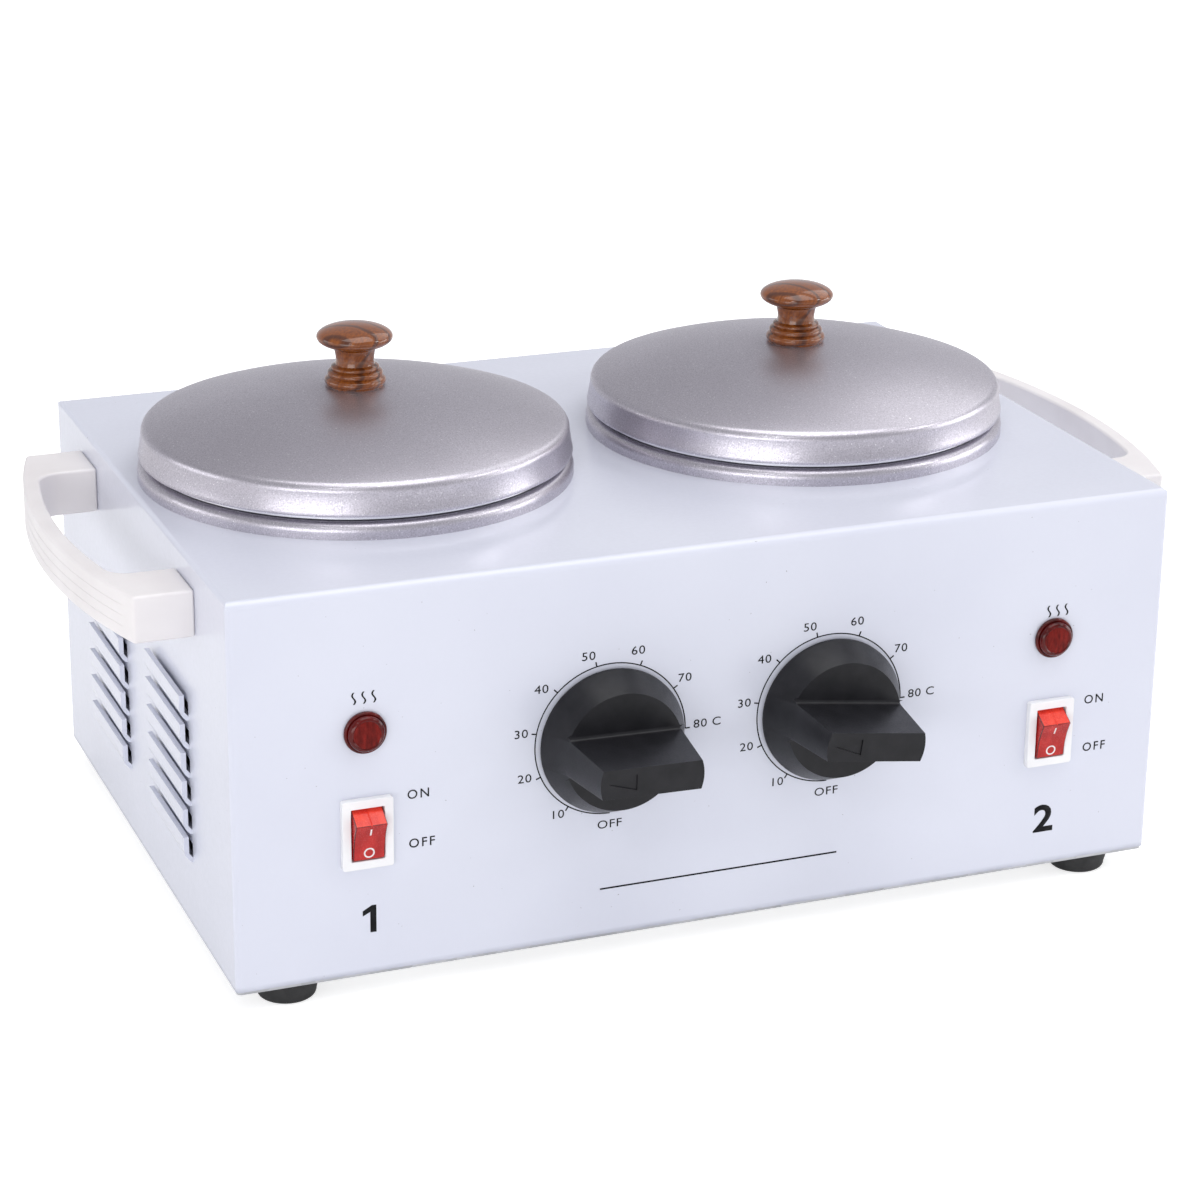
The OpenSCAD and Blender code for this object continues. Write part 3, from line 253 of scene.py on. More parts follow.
class Flow:
    """A number or colour on its way from one node to the next."""

    def __init__(self, tree, socket):
        self.tree = tree
        self.socket = socket

    def sum_with(self, sign, other):
        node = self.tree.nodes.new("ShaderNodeMath")
        node.operation = sign
        for socket, value in zip(node.inputs, (self, other)):
            connect(self.tree, socket, value)
        return Flow(self.tree, node.outputs[0])

    def __mul__(self, other):
        return self.sum_with("MULTIPLY", other)

    def __gt__(self, other):
        return self.sum_with("GREATER_THAN", other)


def connect(tree, socket, value):
    if isinstance(value, Flow):
        tree.links.new(value.socket, socket)
    elif isinstance(value, tuple) and socket.type == "RGBA":
        socket.default_value = (*value, 1)
    else:
        socket.default_value = value


# %% A material under construction


class Finish:
    """One material: constants sit on its shader, and varying values are fed to it."""

    def __init__(self, name, **constants):
        self.material = bpy.data.materials.new(name)
        self.material.use_nodes = True
        self.tree = self.material.node_tree
        self.shader = self.tree.nodes["Principled BSDF"]
        self.feed(**constants)

    def feed(self, **values):
        for name, value in values.items():
            connect(self.tree, self.shader.inputs[name.replace("_", " ")], value)
        return self

    def node(self, kind, settings=None, values=None, out=0):
        node = self.tree.nodes.new("ShaderNode" + kind)
        for name, value in (settings or {}).items():
            setattr(node, name, value)
        for name, value in (values or {}).items():
            connect(self.tree, node.inputs[name], value)
        return Flow(self.tree, node.outputs[out])

    def place(self, centre=(0, 0, 0), turn=(0, 0, 0), cell=(1, 1, 1)):
        """Object coordinates seen from a centre, turned, and in cells of a size in millimetres."""
        here = self.node("TexCoord", out="Object")
        values = {
            "Vector": here,
            "Location": Vector(centre) * MM,
            "Rotation": [math.radians(a) for a in turn],
            "Scale": Vector(cell) * MM,
        }
        return self.node("Mapping", {"vector_type": "TEXTURE"}, values)

    def cloud(self, where, detail=2.0, rough=0.5):
        """Noise with one cloud to a cell of the coordinates it is given."""
        values = {"Vector": where, "Scale": 1.0, "Detail": detail, "Roughness": rough}
        return self.node("TexNoise", {}, values)

    def span(self, value, low, high, first=0.0, last=1.0):
        sockets = {"Value": value, "From Min": low, "From Max": high, "To Min": first, "To Max": last}
        return self.node("MapRange", {"clamp": True}, sockets)

    def between(self, share, first, last):
        return self.node("Mix", {"data_type": "RGBA"}, {0: share, 6: first, 7: last}, out=2)

    def relief(self, height, depth):
        """Feeds a bump whose height from 0 to 1 stands for a depth in millimetres."""
        return self.feed(Normal=self.node("Bump", {}, {"Height": height, "Distance": depth * MM}))


def grained(name, dark, light, cell, depth, rough, **constants):
    """A finish of two close shades in clouds of one size, with a fine relief and uneven gloss."""
    finish = Finish(name, **constants)
    broad = finish.cloud(finish.place(cell=cell), detail=3.0)
    fine = finish.cloud(finish.place(cell=[side / 9 for side in cell]), detail=2.0)
    finish.feed(Base_Color=finish.between(finish.span(broad, 0.3, 0.7), dark, light))
    finish.feed(Roughness=finish.span(fine, 0.3, 0.7, rough - 0.05, rough + 0.05))
    finish.relief(fine, depth)
    return finish.material


finishes = {}


def wear(piece, material):
    """Gives a piece one finish all over."""
    piece.data.materials.clear()
    piece.data.materials.append(material)


def hand_over(piece, name, body, slot, material=None, *replaced):
    """Names a finished piece, gives it a finish when one is given, fixes it to a body of the frame and
    hides the solids it stands for.
    """
    piece.name = name
    piece.data.name = name
    if material:
        wear(piece, material)
    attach(piece, body)
    if replaced:
        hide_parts(*replaced)
    size = [round(v / MM, 1) for v in piece.dimensions]
    print(name, "faces:", len(piece.data.polygons), "size mm:", size)
    return piece


# %% [markdown]
# ## White enamel
# The sheet is sprayed with a cool white paint and baked. Sprayed paint is never quite flat: it has a fine
# orange-peel relief, a slow change of gloss, and a few specks of dust caught before it dried. Along the
# lowest edge a painted shade greys it in clouds, where the shadow gap above the base plate falls.

# %% Paint of the housing
paint = Finish("white_enamel", IOR=1.5, Coat_Roughness=0.12)
slow = paint.cloud(paint.place(cell=(60, 60, 60)), detail=2.0)
peel = paint.cloud(paint.place(cell=(1.4, 1.4, 1.4)), detail=1.0)
dust = paint.cloud(paint.place(cell=(0.9, 0.9, 0.9)), detail=0.0) > 0.9
height = paint.node("SeparateXYZ", {}, {0: paint.place(centre=(0, 0, base_high.z))}, out=2)
# painted shade: the lowest 1.6 mm above the base plate turns bluish grey in clouds, for the shadow gap
# there
bottom_painted_shade = paint.span(height, 0.0, 1.6, 1.0, 0.0) * paint.cloud(paint.place(cell=(9, 9, 3)), detail=4.0)
body_colour = paint.between(paint.span(slow, 0.3, 0.7), (0.68, 0.7, 0.8), (0.71, 0.73, 0.825))
dusted = paint.between(dust * 0.6, body_colour, (0.25, 0.24, 0.26))
paint.feed(Base_Color=paint.between(bottom_painted_shade * 0.8, dusted, (0.22, 0.23, 0.3)))
paint.feed(Roughness=paint.span(slow, 0.3, 0.7, 0.2, 0.27))
paint.feed(Coat_Weight=paint.span(peel, 0.2, 0.8, 0.35, 0.5))
paint.relief(peel, 0.006)
finishes["white_paint"] = paint.material
print("nodes in the enamel:", len(paint.tree.nodes))

# %% [markdown]
# ## Silver lids and wells, turned pots
# The lids and wells are spun from aluminium and sprayed with a silver lacquer full of metal flake, so they
# sparkle where light meets them and turn flat grey elsewhere. The pots are only formed, with faint turning
# lines. Both are metals, so the colour goes to the reflection, and the flake lives in colour, gloss and
# relief.

# %% Flaked silver
silver = Finish("flaked_silver", Metallic=0.92)
flake = silver.cloud(silver.place(cell=(0.42, 0.42, 0.42)), detail=1.0, rough=0.7)
soft = silver.cloud(silver.place(cell=(38, 38, 38)), detail=2.0)
sparkle = silver.span(flake, 0.7, 0.76)
ground = silver.between(silver.span(soft, 0.3, 0.7), (0.56, 0.535, 0.59), (0.62, 0.595, 0.655))
speckled = silver.between(silver.span(flake, 0.25, 0.6), (0.42, 0.4, 0.445), ground)
silver.feed(Base_Color=silver.between(sparkle, speckled, (1.0, 1.0, 1.0)))
silver.feed(Roughness=silver.span(flake, 0.3, 0.7, 0.42, 0.28))
silver.relief(flake, 0.018)
finishes["silver_lid"] = silver.material

# %% Turned aluminium
formed = Finish("formed_aluminium", Metallic=1.0)
turning = formed.cloud(formed.place(cell=(60, 60, 0.5)), detail=1.0)
handled = formed.cloud(formed.place(cell=(22, 22, 22)), detail=3.0)
handled_share = formed.span(handled, 0.3, 0.7)
formed.feed(Base_Color=formed.between(handled_share, (0.74, 0.74, 0.78), (0.86, 0.86, 0.89)))
formed.feed(Roughness=formed.span(turning, 0.3, 0.7, 0.2, 0.27))
formed.relief(turning, 0.0015)
finishes["formed_aluminium"] = formed.material
print("metals:", sorted(finishes))

# %% [markdown]
# ## Wood of the knobs
# The knobs are turned from a reddish hardwood and dipped in clear varnish. The figure is long dark streaks
# that cross the cap slantwise, so bands of a wavy field are used, with the whole field turned. The varnish
# is a coat over the wood.

# %% Varnished hardwood
wood = Finish("varnished_hardwood", Coat_Weight=1.0, Coat_Roughness=0.04, IOR=1.5, Specular_IOR_Level=0.2)
bands = {"wave_type": "BANDS", "bands_direction": "X", "wave_profile": "SIN"}
GRAIN_TURN = (12, 30, 40)
along = wood.place(turn=GRAIN_TURN, cell=(16, 16, 34))
wavy = {"Vector": along, "Scale": 1.0, "Distortion": 2.5, "Detail": 2.0}
rings = wood.node("TexWave", bands, wavy, out=1)
fibres = wood.cloud(wood.place(turn=GRAIN_TURN, cell=(0.6, 0.6, 9)), detail=3.0)
streak = wood.span(rings, 0.8, 0.99)
plain_wood = wood.between(wood.span(fibres, 0.3, 0.7), (0.15, 0.034, 0.004), (0.28, 0.078, 0.009))
wood.feed(Base_Color=wood.between(streak * 0.75, plain_wood, (0.045, 0.01, 0.004)))
wood.feed(Roughness=wood.span(fibres, 0.3, 0.7, 0.3, 0.45))
wood.relief(fibres, 0.01)
finishes["wood"] = wood.material

# %% [markdown]
# ## Plastics, rubber and lamps
# Moulded plastic has a fine texture from its tool, finer on glossy pieces. The black of the dials is satin,
# the handles are a warm white, and the switch cases a hard glossy white. The red pieces are clear plastic
# with colour in it, so their tone clouds where the wall is thick. They all share the grained recipe above.

# %% Moulded finishes
finishes["handle_plastic"] = grained(
    "handle_plastic", (0.8, 0.765, 0.765), (0.86, 0.83, 0.83), (24, 24, 24), 0.006, 0.36
)
finishes["black_plastic"] = grained(
    "satin_black_plastic",
    (0.007, 0.007, 0.009),
    (0.013, 0.013, 0.016),
    (5, 5, 5),
    0.014,
    0.36,
    Specular_IOR_Level=0.32,
)
finishes["white_plastic"] = grained(
    "glossy_white_plastic", (0.85, 0.85, 0.87), (0.92, 0.92, 0.93), (12, 12, 12), 0.003, 0.2
)
finishes["rubber"] = grained(
    "foot_rubber", (0.008, 0.008, 0.009), (0.02, 0.02, 0.021), (4, 4, 4), 0.03, 0.58
)
RED_CELL = (3, 3, 5)
finishes["red_rocker"] = grained(
    "red_rocker_plastic", (0.36, 0.014, 0.014), (0.55, 0.03, 0.026), RED_CELL, 0.004, 0.25,
    Specular_IOR_Level=0.3,
)
# painted light: a brighter red copy of the rocker plastic for its upper end face, where light falls
rocker_top_painted_light = grained("painted_light_on_rocker_top", (0.75, 0.03, 0.018), (0.95, 0.075, 0.04), RED_CELL, 0.004, 0.25)
# painted shade: a near-black copy for the slanted edge faces, where the slot round the rocker is in shadow
rocker_rim_painted_shade = grained(
    "painted_shade_on_rocker_rim", (0.06, 0.002, 0.003), (0.14, 0.006, 0.006), RED_CELL, 0.004, 0.25
)
finishes["red_lens"] = grained(
    "dark_red_lens", (0.04, 0.001, 0.001), (0.12, 0.004, 0.003), (4, 4, 4), 0.003, 0.14,
    Specular_IOR_Level=0.35,
)
lamp_core = grained(
    "red_lamp_core", (0.09, 0.003, 0.002), (0.22, 0.012, 0.008), (0.8, 3, 3), 0.01, 0.3,
    Specular_IOR_Level=0.15,
)
black_ink = grained(
    "printed_black", (0.004, 0.004, 0.005), (0.012, 0.012, 0.014), (2, 2, 2), 0.002, 0.5,
    Specular_IOR_Level=0.15,
)
white_ink = grained("printed_white", (0.78, 0.7, 0.7), (0.9, 0.86, 0.86), (1, 1, 1), 0.002, 0.4)
print("plastics:", len(finishes))

# %% [markdown]
# ## Finishes out of sight
# Under the housing there is zinc sheet, with the feathery crystals of hot galvanising. Inside are steel
# screws, brass, copper, a dull heater sheath, ceramic and woven wire sleeves. They show when the lids and
# pots are lifted or the part is turned over, so each gets its own grain too.

# %% Zinc, fasteners and insulation
zinc = Finish("zinc_sheet", Metallic=0.9)
crystal = zinc.node(
    "TexVoronoi", {"feature": "F1"}, {"Vector": zinc.place(cell=(7, 7, 7)), "Scale": 1.0}, out="Color"
)
feather = zinc.node("SeparateColor", {}, {0: crystal})
zinc.feed(Base_Color=zinc.between(feather, (0.42, 0.43, 0.45), (0.6, 0.61, 0.63)))
zinc.feed(Roughness=zinc.span(feather, 0.0, 1.0, 0.34, 0.5))
zinc.relief(feather, 0.004)
finishes["zinc_sheet"] = zinc.material
finishes["screw_steel"] = grained(
    "screw_steel", (0.5, 0.5, 0.52), (0.68, 0.68, 0.7), (2, 2, 0.6), 0.004, 0.3, Metallic=1.0
)
finishes["brass"] = grained(
    "brass", (0.6, 0.4, 0.14), (0.75, 0.55, 0.24), (4, 4, 4), 0.004, 0.3, Metallic=1.0
)
finishes["copper"] = grained(
    "copper", (0.55, 0.2, 0.1), (0.72, 0.32, 0.18), (4, 4, 4), 0.004, 0.33, Metallic=1.0
)
finishes["heater_sheath"] = grained(
    "heater_sheath", (0.3, 0.28, 0.25), (0.5, 0.47, 0.43), (18, 18, 6), 0.01, 0.42, Metallic=0.9
)
finishes["ceramic"] = grained("ceramic", (0.62, 0.58, 0.5), (0.76, 0.73, 0.66), (3, 3, 3), 0.02, 0.5)
sleeve = Finish("woven_sleeve")
threads = {"Vector": sleeve.place(cell=(0.5, 0.5, 0.5)), "Distortion": 1.5}
weave = sleeve.node("TexWave", {"bands_direction": "DIAGONAL"}, threads, out=1)
sleeve.feed(Base_Color=sleeve.between(weave, (0.5, 0.44, 0.34), (0.78, 0.74, 0.66)))
sleeve.feed(Roughness=sleeve.span(weave, 0.0, 1.0, 0.6, 0.75))
sleeve.relief(weave, 0.05)
finishes["wire_sleeve"] = sleeve.material

# %% Dress every solid of the drawing
slot_of = {part["node"]: part["material_slot"] for part in frame["record"]["subparts"]}
LACQUERED = ("left_well", "right_well")
for name, node in nodes.items():
    wear(node, finishes["silver_lid" if name in LACQUERED else slot_of[name]])
print("solids dressed:", len(slot_of), "finishes:", len(finishes))

# %% [markdown]
# ## Lids
# Each lid is one sheet with a low dome, a rounded shoulder, a skirt that flares a little and a hem turned
# in at the bottom. Sheet could be made with Solidify, but the hem makes it thicker in one place, so the
# closed section of the sheet is drawn and spun.

# %% Section of a lid
lid_low, lid_high = corners("left_lid")
LID_R = (lid_high.x - lid_low.x) / 2
DOME_R = 183.82
DOME_TOP = 20.4
SHEET = 1.2
lid_flat_z = lid_high.z - lid_low.z


def dome_point(radius, thick):
    across = DOME_R - thick
    return (radius, DOME_TOP - DOME_R + math.sqrt(across * across - radius * radius))


def shoulder(thick):
    """The rounded corner between dome and skirt, from where the dome touches it."""
    centre = (LID_R - 4, 6.8)
    tilt = math.degrees(math.atan2(centre[1] - DOME_TOP + DOME_R, centre[0]))
    return arc(centre, 3 - thick, tilt, -8, 9)


outside = [(2.1, lid_flat_z), (9.6, lid_flat_z)]
outside += [dome_point(radius, 0) for radius in (10.5, 16, 22, 28, 34, 40, 45, 50, 54, 58)]
outside += shoulder(0) + [(LID_R - 0.25, 1.3), (LID_R, 0.5), (LID_R - 0.15, 0.12), (LID_R - 0.5, 0)]
inside = [(LID_R - 4.3, 0), (LID_R - 4.5, 0.2), (LID_R - 4.5, 1.0), (LID_R - 4.3, SHEET)]
inside += [(LID_R - 1.6, SHEET), (LID_R - 1.35, 1.6)] + shoulder(SHEET)[::-1]
inside += [dome_point(radius, SHEET) for radius in (58, 54, 50, 45, 40, 34, 28, 22, 16, 10, 2.1)]
lid = lathed(outside + inside, steps=128, closed=True)
shaded(lid, 40, even=False)
print("lid across", round(LID_R * 2, 1), "mm, faces", len(lid.data.polygons))

# %% A lid on each pot
for side in SIDES:
    piece = put(lid, move=(well[side].x, well[side].y, lid_low.z), copy=True)
    finish = finishes["silver_lid"]
    hand_over(piece, side + "_domed_lid", side + "_lid_body", "silver_lid", finish, side + "_lid")
bpy.data.objects.remove(lid)

# %% [markdown]
# ## Knobs
# A knob is turned wood: a base of three beads, a waist and a cap like a flattened mushroom. The beads are
# what makes it look turned, so each one gets its own small arc in the outline.

# %% Outline of a knob
knob_low, knob_high = corners("left_lid_knob")
CAP_R = (knob_high.x - knob_low.x) / 2
KNOB_H = knob_high.z - knob_low.z
outline = [(0, 0), (8.6, 0)]
outline += arc((8.0, 1.4), 1.2, -60, 75, 7)
outline += arc((7.3, 3.6), 1.0, -50, 75, 6)
outline += arc((6.5, 5.3), 0.75, -50, 70, 5)
outline += [(5.95, 6.4), (5.75, 7.4), (5.75, 8.6), (5.95, 9.8), (6.25, KNOB_H - 7.4), (6.6, KNOB_H - 7.05)]
CAP_HALF = 3.8
for angle in range(-56, 90, 8):
    radius = CAP_R * math.cos(math.radians(angle))
    outline.append((radius, KNOB_H - CAP_HALF + CAP_HALF * math.sin(math.radians(angle))))
outline.append((0, KNOB_H))
knob = lathed(outline, steps=72)
cut(knob, rod(2.1, 24, (0, 0, 0)))
shaded(knob, 40, even=False)
print("knob across", round(CAP_R * 2, 1), "mm")

# %% A knob on each lid
for side in SIDES:
    piece = put(knob, move=(well[side].x, well[side].y, knob_low.z), copy=True)
    finish = finishes["wood"]
    hand_over(piece, side + "_turned_knob", side + "_lid_body", "wood", finish, side + "_lid_knob")
bpy.data.objects.remove(knob)

# %% [markdown]
# ## Dials
# A dial is a shallow cone with a tall grip bar across it. The cone is turned. Its flat top is then bisected
# along the two flanks of the bar, the strip between them is extruded to the full height, and the new top is
# scaled down a little, which gives the bar the draft it was moulded with. A bevel rounds the edges.

# %% Cone of a dial and its bar
dial_low, dial_high = corners("left_dial")
DIAL_R = 21.8
DIAL_L = dial_high.y - dial_low.y
FLOOR = 10.0
ROOT, FRONT = (17.75, 5.4), (15.5, 4.3)
cone = [(0, 0), (DIAL_R - 0.3, 0), (DIAL_R, 0.3), (DIAL_R, 1.6), (ROOT[0], FLOOR), (0, FLOOR)]
dial = lathed(cone, steps=90)
bpy.ops.object.mode_set(mode="EDIT")
for sign in (-1, 1):
    bpy.ops.mesh.select_all(action="SELECT")
    bpy.ops.mesh.bisect(plane_co=(0, sign * ROOT[1] * MM, 0), plane_no=(0, 1, 0))
pick("FACE", lambda at, way: way.z > 0.9 and at.z > FLOOR - 0.1 and abs(at.y) < ROOT[1])
bpy.ops.mesh.extrude_region_move(TRANSFORM_OT_translate={"value": (0, 0, (DIAL_L - FLOOR) * MM)})
draft = (FRONT[0] / ROOT[0], FRONT[1] / ROOT[1], 1)
bpy.ops.transform.resize(value=draft, center_override=(0, 0, DIAL_L * MM))
pick(
    "EDGE",
    lambda at, way: abs(at.z - FLOOR) < 0.05 and abs(abs(at.y) - ROOT[1]) < 0.1 and abs(way.x) > 0.9,
)
bpy.ops.mesh.bevel(offset=1.1 * MM, segments=5, affect="EDGES")
close_edit(dial)
softened(dial, 0.4, 3, 28)
print("bar at the front", 2 * FRONT[1], "mm, faces", len(dial.data.polygons))

# %% Pointer and bore of a dial
tip = Vector((7.4, 0, DIAL_L))
pointer = start(bpy.ops.mesh.primitive_cylinder_add, at=tip, vertices=3, radius=4.4 * MM, depth=0.8 * MM)
bpy.ops.transform.rotate(value=math.radians(90), orient_axis="Z", center_override=tip * MM)
pick("VERT", lambda at, way: True)
bpy.ops.transform.resize(value=(1.25, 0.62, 1), center_override=tip * MM)
only(pointer)
print("pointer size mm:", [round(v / MM, 1) for v in pointer.dimensions])
cut(dial, pointer)
cut(dial, rod(19.3, 6.8, (0, 0, 0), sides=64))
cut(dial, rod(3.05, 51, (0, 0, 0)))
shaded(dial, 28)

# %% A dial on each shaft
REST = {"left": 91.4, "right": 98.0}
for side in SIDES:
    centre = middle(side + "_dial")
    flat = put(dial, turn=(0, 0, -90 - REST[side]), copy=True)
    piece = put(flat, move=(centre.x, dial_high.y, centre.z), turn=FACING_FRONT)
    finish = finishes["black_plastic"]
    hand_over(piece, side + "_grip_dial", side + "_dial_body", "black_plastic", finish, side + "_dial")
bpy.data.objects.remove(dial)

# %% [markdown]
# ## Handles
# Each handle is one moulding: two square end blocks and a bow between them. Its outline seen from above is
# drawn once, filled and extruded to its height. Three fine grooves run along the bow, made by bisecting the
# handle at their heights and drawing the middle ring of vertices inwards.

# %% Outline of a handle
grip_low, grip_high = corners("right_handle")
BOW_C, BOW_R, BOW_IN = -194.21, 222.21, 217.21
half = (grip_high.y - grip_low.y) / 2
bow_angle = math.degrees(math.asin(half / BOW_R))
fillet = (12.06, 40.5)
path = [(0.0, -half)]
path += arc((BOW_C, 0), BOW_R, -bow_angle, bow_angle, 44)
path += [(0.0, half), (0.0, 47.5)]
path += arc(fillet, 7, 90, 11.11, 8)
path += arc((BOW_C, 0), BOW_IN, 11.0, -11.0, 30)
path += arc((fillet[0], -fillet[1]), 7, -11.11, -90, 8)
path += [(0.0, -47.5)]
handle = trace([(side_x + out, mid_y + along_y, grip_low.z) for out, along_y in path])
bpy.ops.mesh.select_all(action="SELECT")
bpy.ops.mesh.edge_face_add()
bpy.ops.mesh.extrude_region_move(TRANSFORM_OT_translate={"value": (0, 0, (grip_high.z - grip_low.z) * MM)})
close_edit(handle)
softened(handle, 0.9, 4, 40)
print("handle points round the outline:", len(path))

# %% Grooves and screw holes of a handle
GROOVE = 0.18
only(handle)
bpy.ops.object.mode_set(mode="EDIT")
bow_axis = Vector((side_x + BOW_C, mid_y, 0))
for level in (-3.1, 0, 3.1):
    groove_z = (grip_low.z + grip_high.z) / 2 + level
    for step in (-0.3, 0, 0.3):
        here = (0, 0, (groove_z + step) * MM)
        bpy.ops.mesh.select_all(action="SELECT")
        bpy.ops.mesh.bisect(plane_co=here, plane_no=(0, 0, 1), threshold=0.01 * MM)
    pick(
        "VERT",
        lambda at, way: abs(at.z - groove_z) < 0.05
        and abs(at.y - mid_y) < 62
        and (at.xy - bow_axis.xy).length > BOW_R - 0.4,
    )
    shrink = 1 - GROOVE / BOW_R
    bpy.ops.transform.resize(value=(shrink, shrink, 1), center_override=bow_axis * MM)
close_edit(handle)
for y in (-57.5, 57.5):
    cut(handle, rod(2.2, 26, (side_x, mid_y + y, (grip_low.z + grip_high.z) / 2), turn=(0, 90, 0)))
shaded(handle, 30)
print("handle faces:", len(handle.data.polygons))

# %% A handle on each side
for side in SIDES:
    piece = put(handle, copy=True)
    if side == "left":
        bpy.ops.object.mode_set(mode="EDIT")
        bpy.ops.mesh.select_all(action="SELECT")
        bpy.ops.transform.mirror(constraint_axis=(True, False, False), center_override=(0, 0, 0))
        close_edit(piece)
        shaded(piece, 30)
    finish = finishes["handle_plastic"]
    hand_over(piece, side + "_carry_handle", "chassis", "handle_plastic", finish, side + "_handle")
bpy.data.objects.remove(handle)

# %% [markdown]
# ## Switch cases
# The switch is pushed into a rectangular hole from the front until its bezel meets the paint. A block is
# inset and extruded inwards for the slot the rocker moves in, and inset and extruded backwards for the
# case. Three flat tabs take the wires.

# %% Case with bezel, slot and tabs
case = start(bpy.ops.mesh.primitive_cube_add, at=(0, 0, 1.1), size=MM)
pick("VERT", lambda at, way: True)
bpy.ops.transform.resize(value=(15, 21, 2.2), center_override=Vector((0, 0, 1.1)) * MM)
pick("FACE", lambda at, way: way.z > 0.9)
bpy.ops.mesh.inset(thickness=2.6 * MM)
pick("FACE", lambda at, way: way.z > 0.9 and abs(at.x) < 1 and abs(at.y) < 1)
bpy.ops.mesh.extrude_region_move(TRANSFORM_OT_translate={"value": (0, 0, -12 * MM)})
pick("FACE", lambda at, way: way.z < -0.9 and abs(at.z) < 0.1)
bpy.ops.mesh.inset(thickness=1.0 * MM)
bpy.ops.mesh.extrude_region_move(TRANSFORM_OT_translate={"value": (0, 0, -20 * MM)})
pick("EDGE", lambda at, way: abs(way.z) > 0.9 and abs(at.x) > 7 and abs(at.y) > 10)
bpy.ops.mesh.bevel(offset=0.8 * MM, segments=4, affect="EDGES")
close_edit(case)
softened(case, 0.22, 3, 50)
print("case faces:", len(case.data.polygons))

# %% Pin holes, tabs and a case at each end
cut(case, rod(1.15, 12.6, (0, 0, -1.5), turn=(0, 90, 0), sides=16))
tabs = []
for y in (-6, 0, 6):
    tab = start(bpy.ops.mesh.primitive_cube_add, at=(0, y, -23.4), size=MM)
    pick("VERT", lambda at, way: True)
    bpy.ops.transform.resize(value=(4.8, 0.8, 7), center_override=Vector((0, y, -23.4)) * MM)
    pick("FACE", lambda at, way: way.z < -0.9)
    bpy.ops.transform.resize(value=(0.8, 0.7, 1), center_override=Vector((0, y, -26.9)) * MM)
    only(tab)
    wear(tab, finishes["screw_steel"])
    tabs.append(tab)
wear(case, finishes["white_plastic"])
case = joined([case] + tabs)
shaded(case, 30)
for side in SIDES:
    centre = middle(side + "_switch")
    piece = put(case, move=(centre.x, front_y, centre.z), turn=FACING_FRONT, copy=True)
    hand_over(piece, side + "_switch_case", "chassis", "white_plastic", None, side + "_switch")
bpy.data.objects.remove(case)

# %% [markdown]
# ## Rockers
# A rocker is a wedge of red plastic, hollowed a little across its face so that a finger finds it. Its end
# view is traced, filled and extruded to its width, and a pin goes through it. It is tilted last, so that
# its upper end stands out as on the real one, and carries the printed stroke and ring.

# %% Wedge of a rocker
RISE, HALF, TILT, SAG = 6.0, 7.7, 16.0, 0.7
end_y = HALF - RISE * math.tan(math.radians(TILT))
face_r = (end_y * end_y + SAG * SAG) / (2 * SAG)
face_angle = math.degrees(math.asin(end_y / face_r))
face = arc((RISE - SAG + face_r, 0), face_r, 180 + face_angle, 180 - face_angle, 14)
section = [(-3, -HALF + 2.4), (0, -HALF), (RISE - 0.35, -end_y - 0.1)] + face
section += [(RISE - 0.35, end_y + 0.1), (0, HALF), (-3, HALF - 2.4)]
rocker = trace([(-4.6, y, z) for z, y in section])
bpy.ops.mesh.select_all(action="SELECT")
bpy.ops.mesh.edge_face_add()
bpy.ops.mesh.extrude_region_move(TRANSFORM_OT_translate={"value": (9.2 * MM, 0, 0)})
close_edit(rocker)
softened(rocker, 0.25, 2, 30)
bpy.ops.object.mode_set(mode="EDIT")
for step in (-0.2, 0, 0.2):
    bpy.ops.mesh.select_all(action="SELECT")
    bpy.ops.mesh.bisect(plane_co=(step * MM, 0, 0), plane_no=(1, 0, 0), threshold=0.01 * MM)
pick("VERT", lambda at, way: abs(at.x) < 0.05 and abs(at.y) > end_y - 0.05 and at.z > -0.1)
bpy.ops.transform.resize(value=(1, 0.98, 1), center_override=(0, 0, 0))
close_edit(rocker)
pin = rod(1.0, 12.2, (0, 0, 0), turn=(0, 90, 0), sides=20)
rocker = joined([rocker, pin])
shaded(rocker, 24)
print("rocker face hollow", SAG, "mm over", round(2 * end_y, 1), "mm")

# %% [markdown]
# ## Printed marks
# Scales and words are screen printed, a few hundredths of a millimetre thick. Letters start as text, are
# made a mesh, and get that thickness from Solidify. Each pot gets its number, and three rising waves stand
# for heat above each lamp.

# %% Letters, strokes and rings as thin ink


def inked(piece, thick=0.06):
    """Gives a flat shape the thickness of ink, lying on the plane z = 0."""
    applied(piece, "SOLIDIFY", thickness=thick * MM, offset=0.0)
    bpy.ops.object.mode_set(mode="EDIT")
    close_edit(piece)
    return put(piece, move=(0, 0, thick / 2))


def letters(text, at, size, weight=0.0, spacing=1.1, wide=1.15):
    """Text of a capital height in millimetres, centred on a place."""
    only(nodes["housing"])
    bpy.ops.object.select_all(action="DESELECT")
    bpy.ops.object.text_add(location=(0, 0, 0))
    line = bpy.context.object
    line.data.body = text
    line.data.size = size / 0.69 * MM
    line.data.align_x = "CENTER"
    line.data.space_character = spacing
    line.data.offset = weight * MM
    line.data.resolution_u = 4
    bpy.ops.object.convert(target="MESH")
    line = bpy.context.object
    line.scale.x = wide
    bpy.ops.object.transform_apply(scale=True)
    return inked(put(line, move=(at[0], at[1] - size / 2, 0)))


def stroke(at, width, height, turn=0.0):
    """A straight line of ink, centred on a place."""
    line = start(bpy.ops.mesh.primitive_plane_add, size=MM)
    bpy.ops.transform.resize(value=(width, height, 1))
    only(line)
    return inked(put(line, move=(at[0], at[1], 0), turn=(0, 0, turn)))


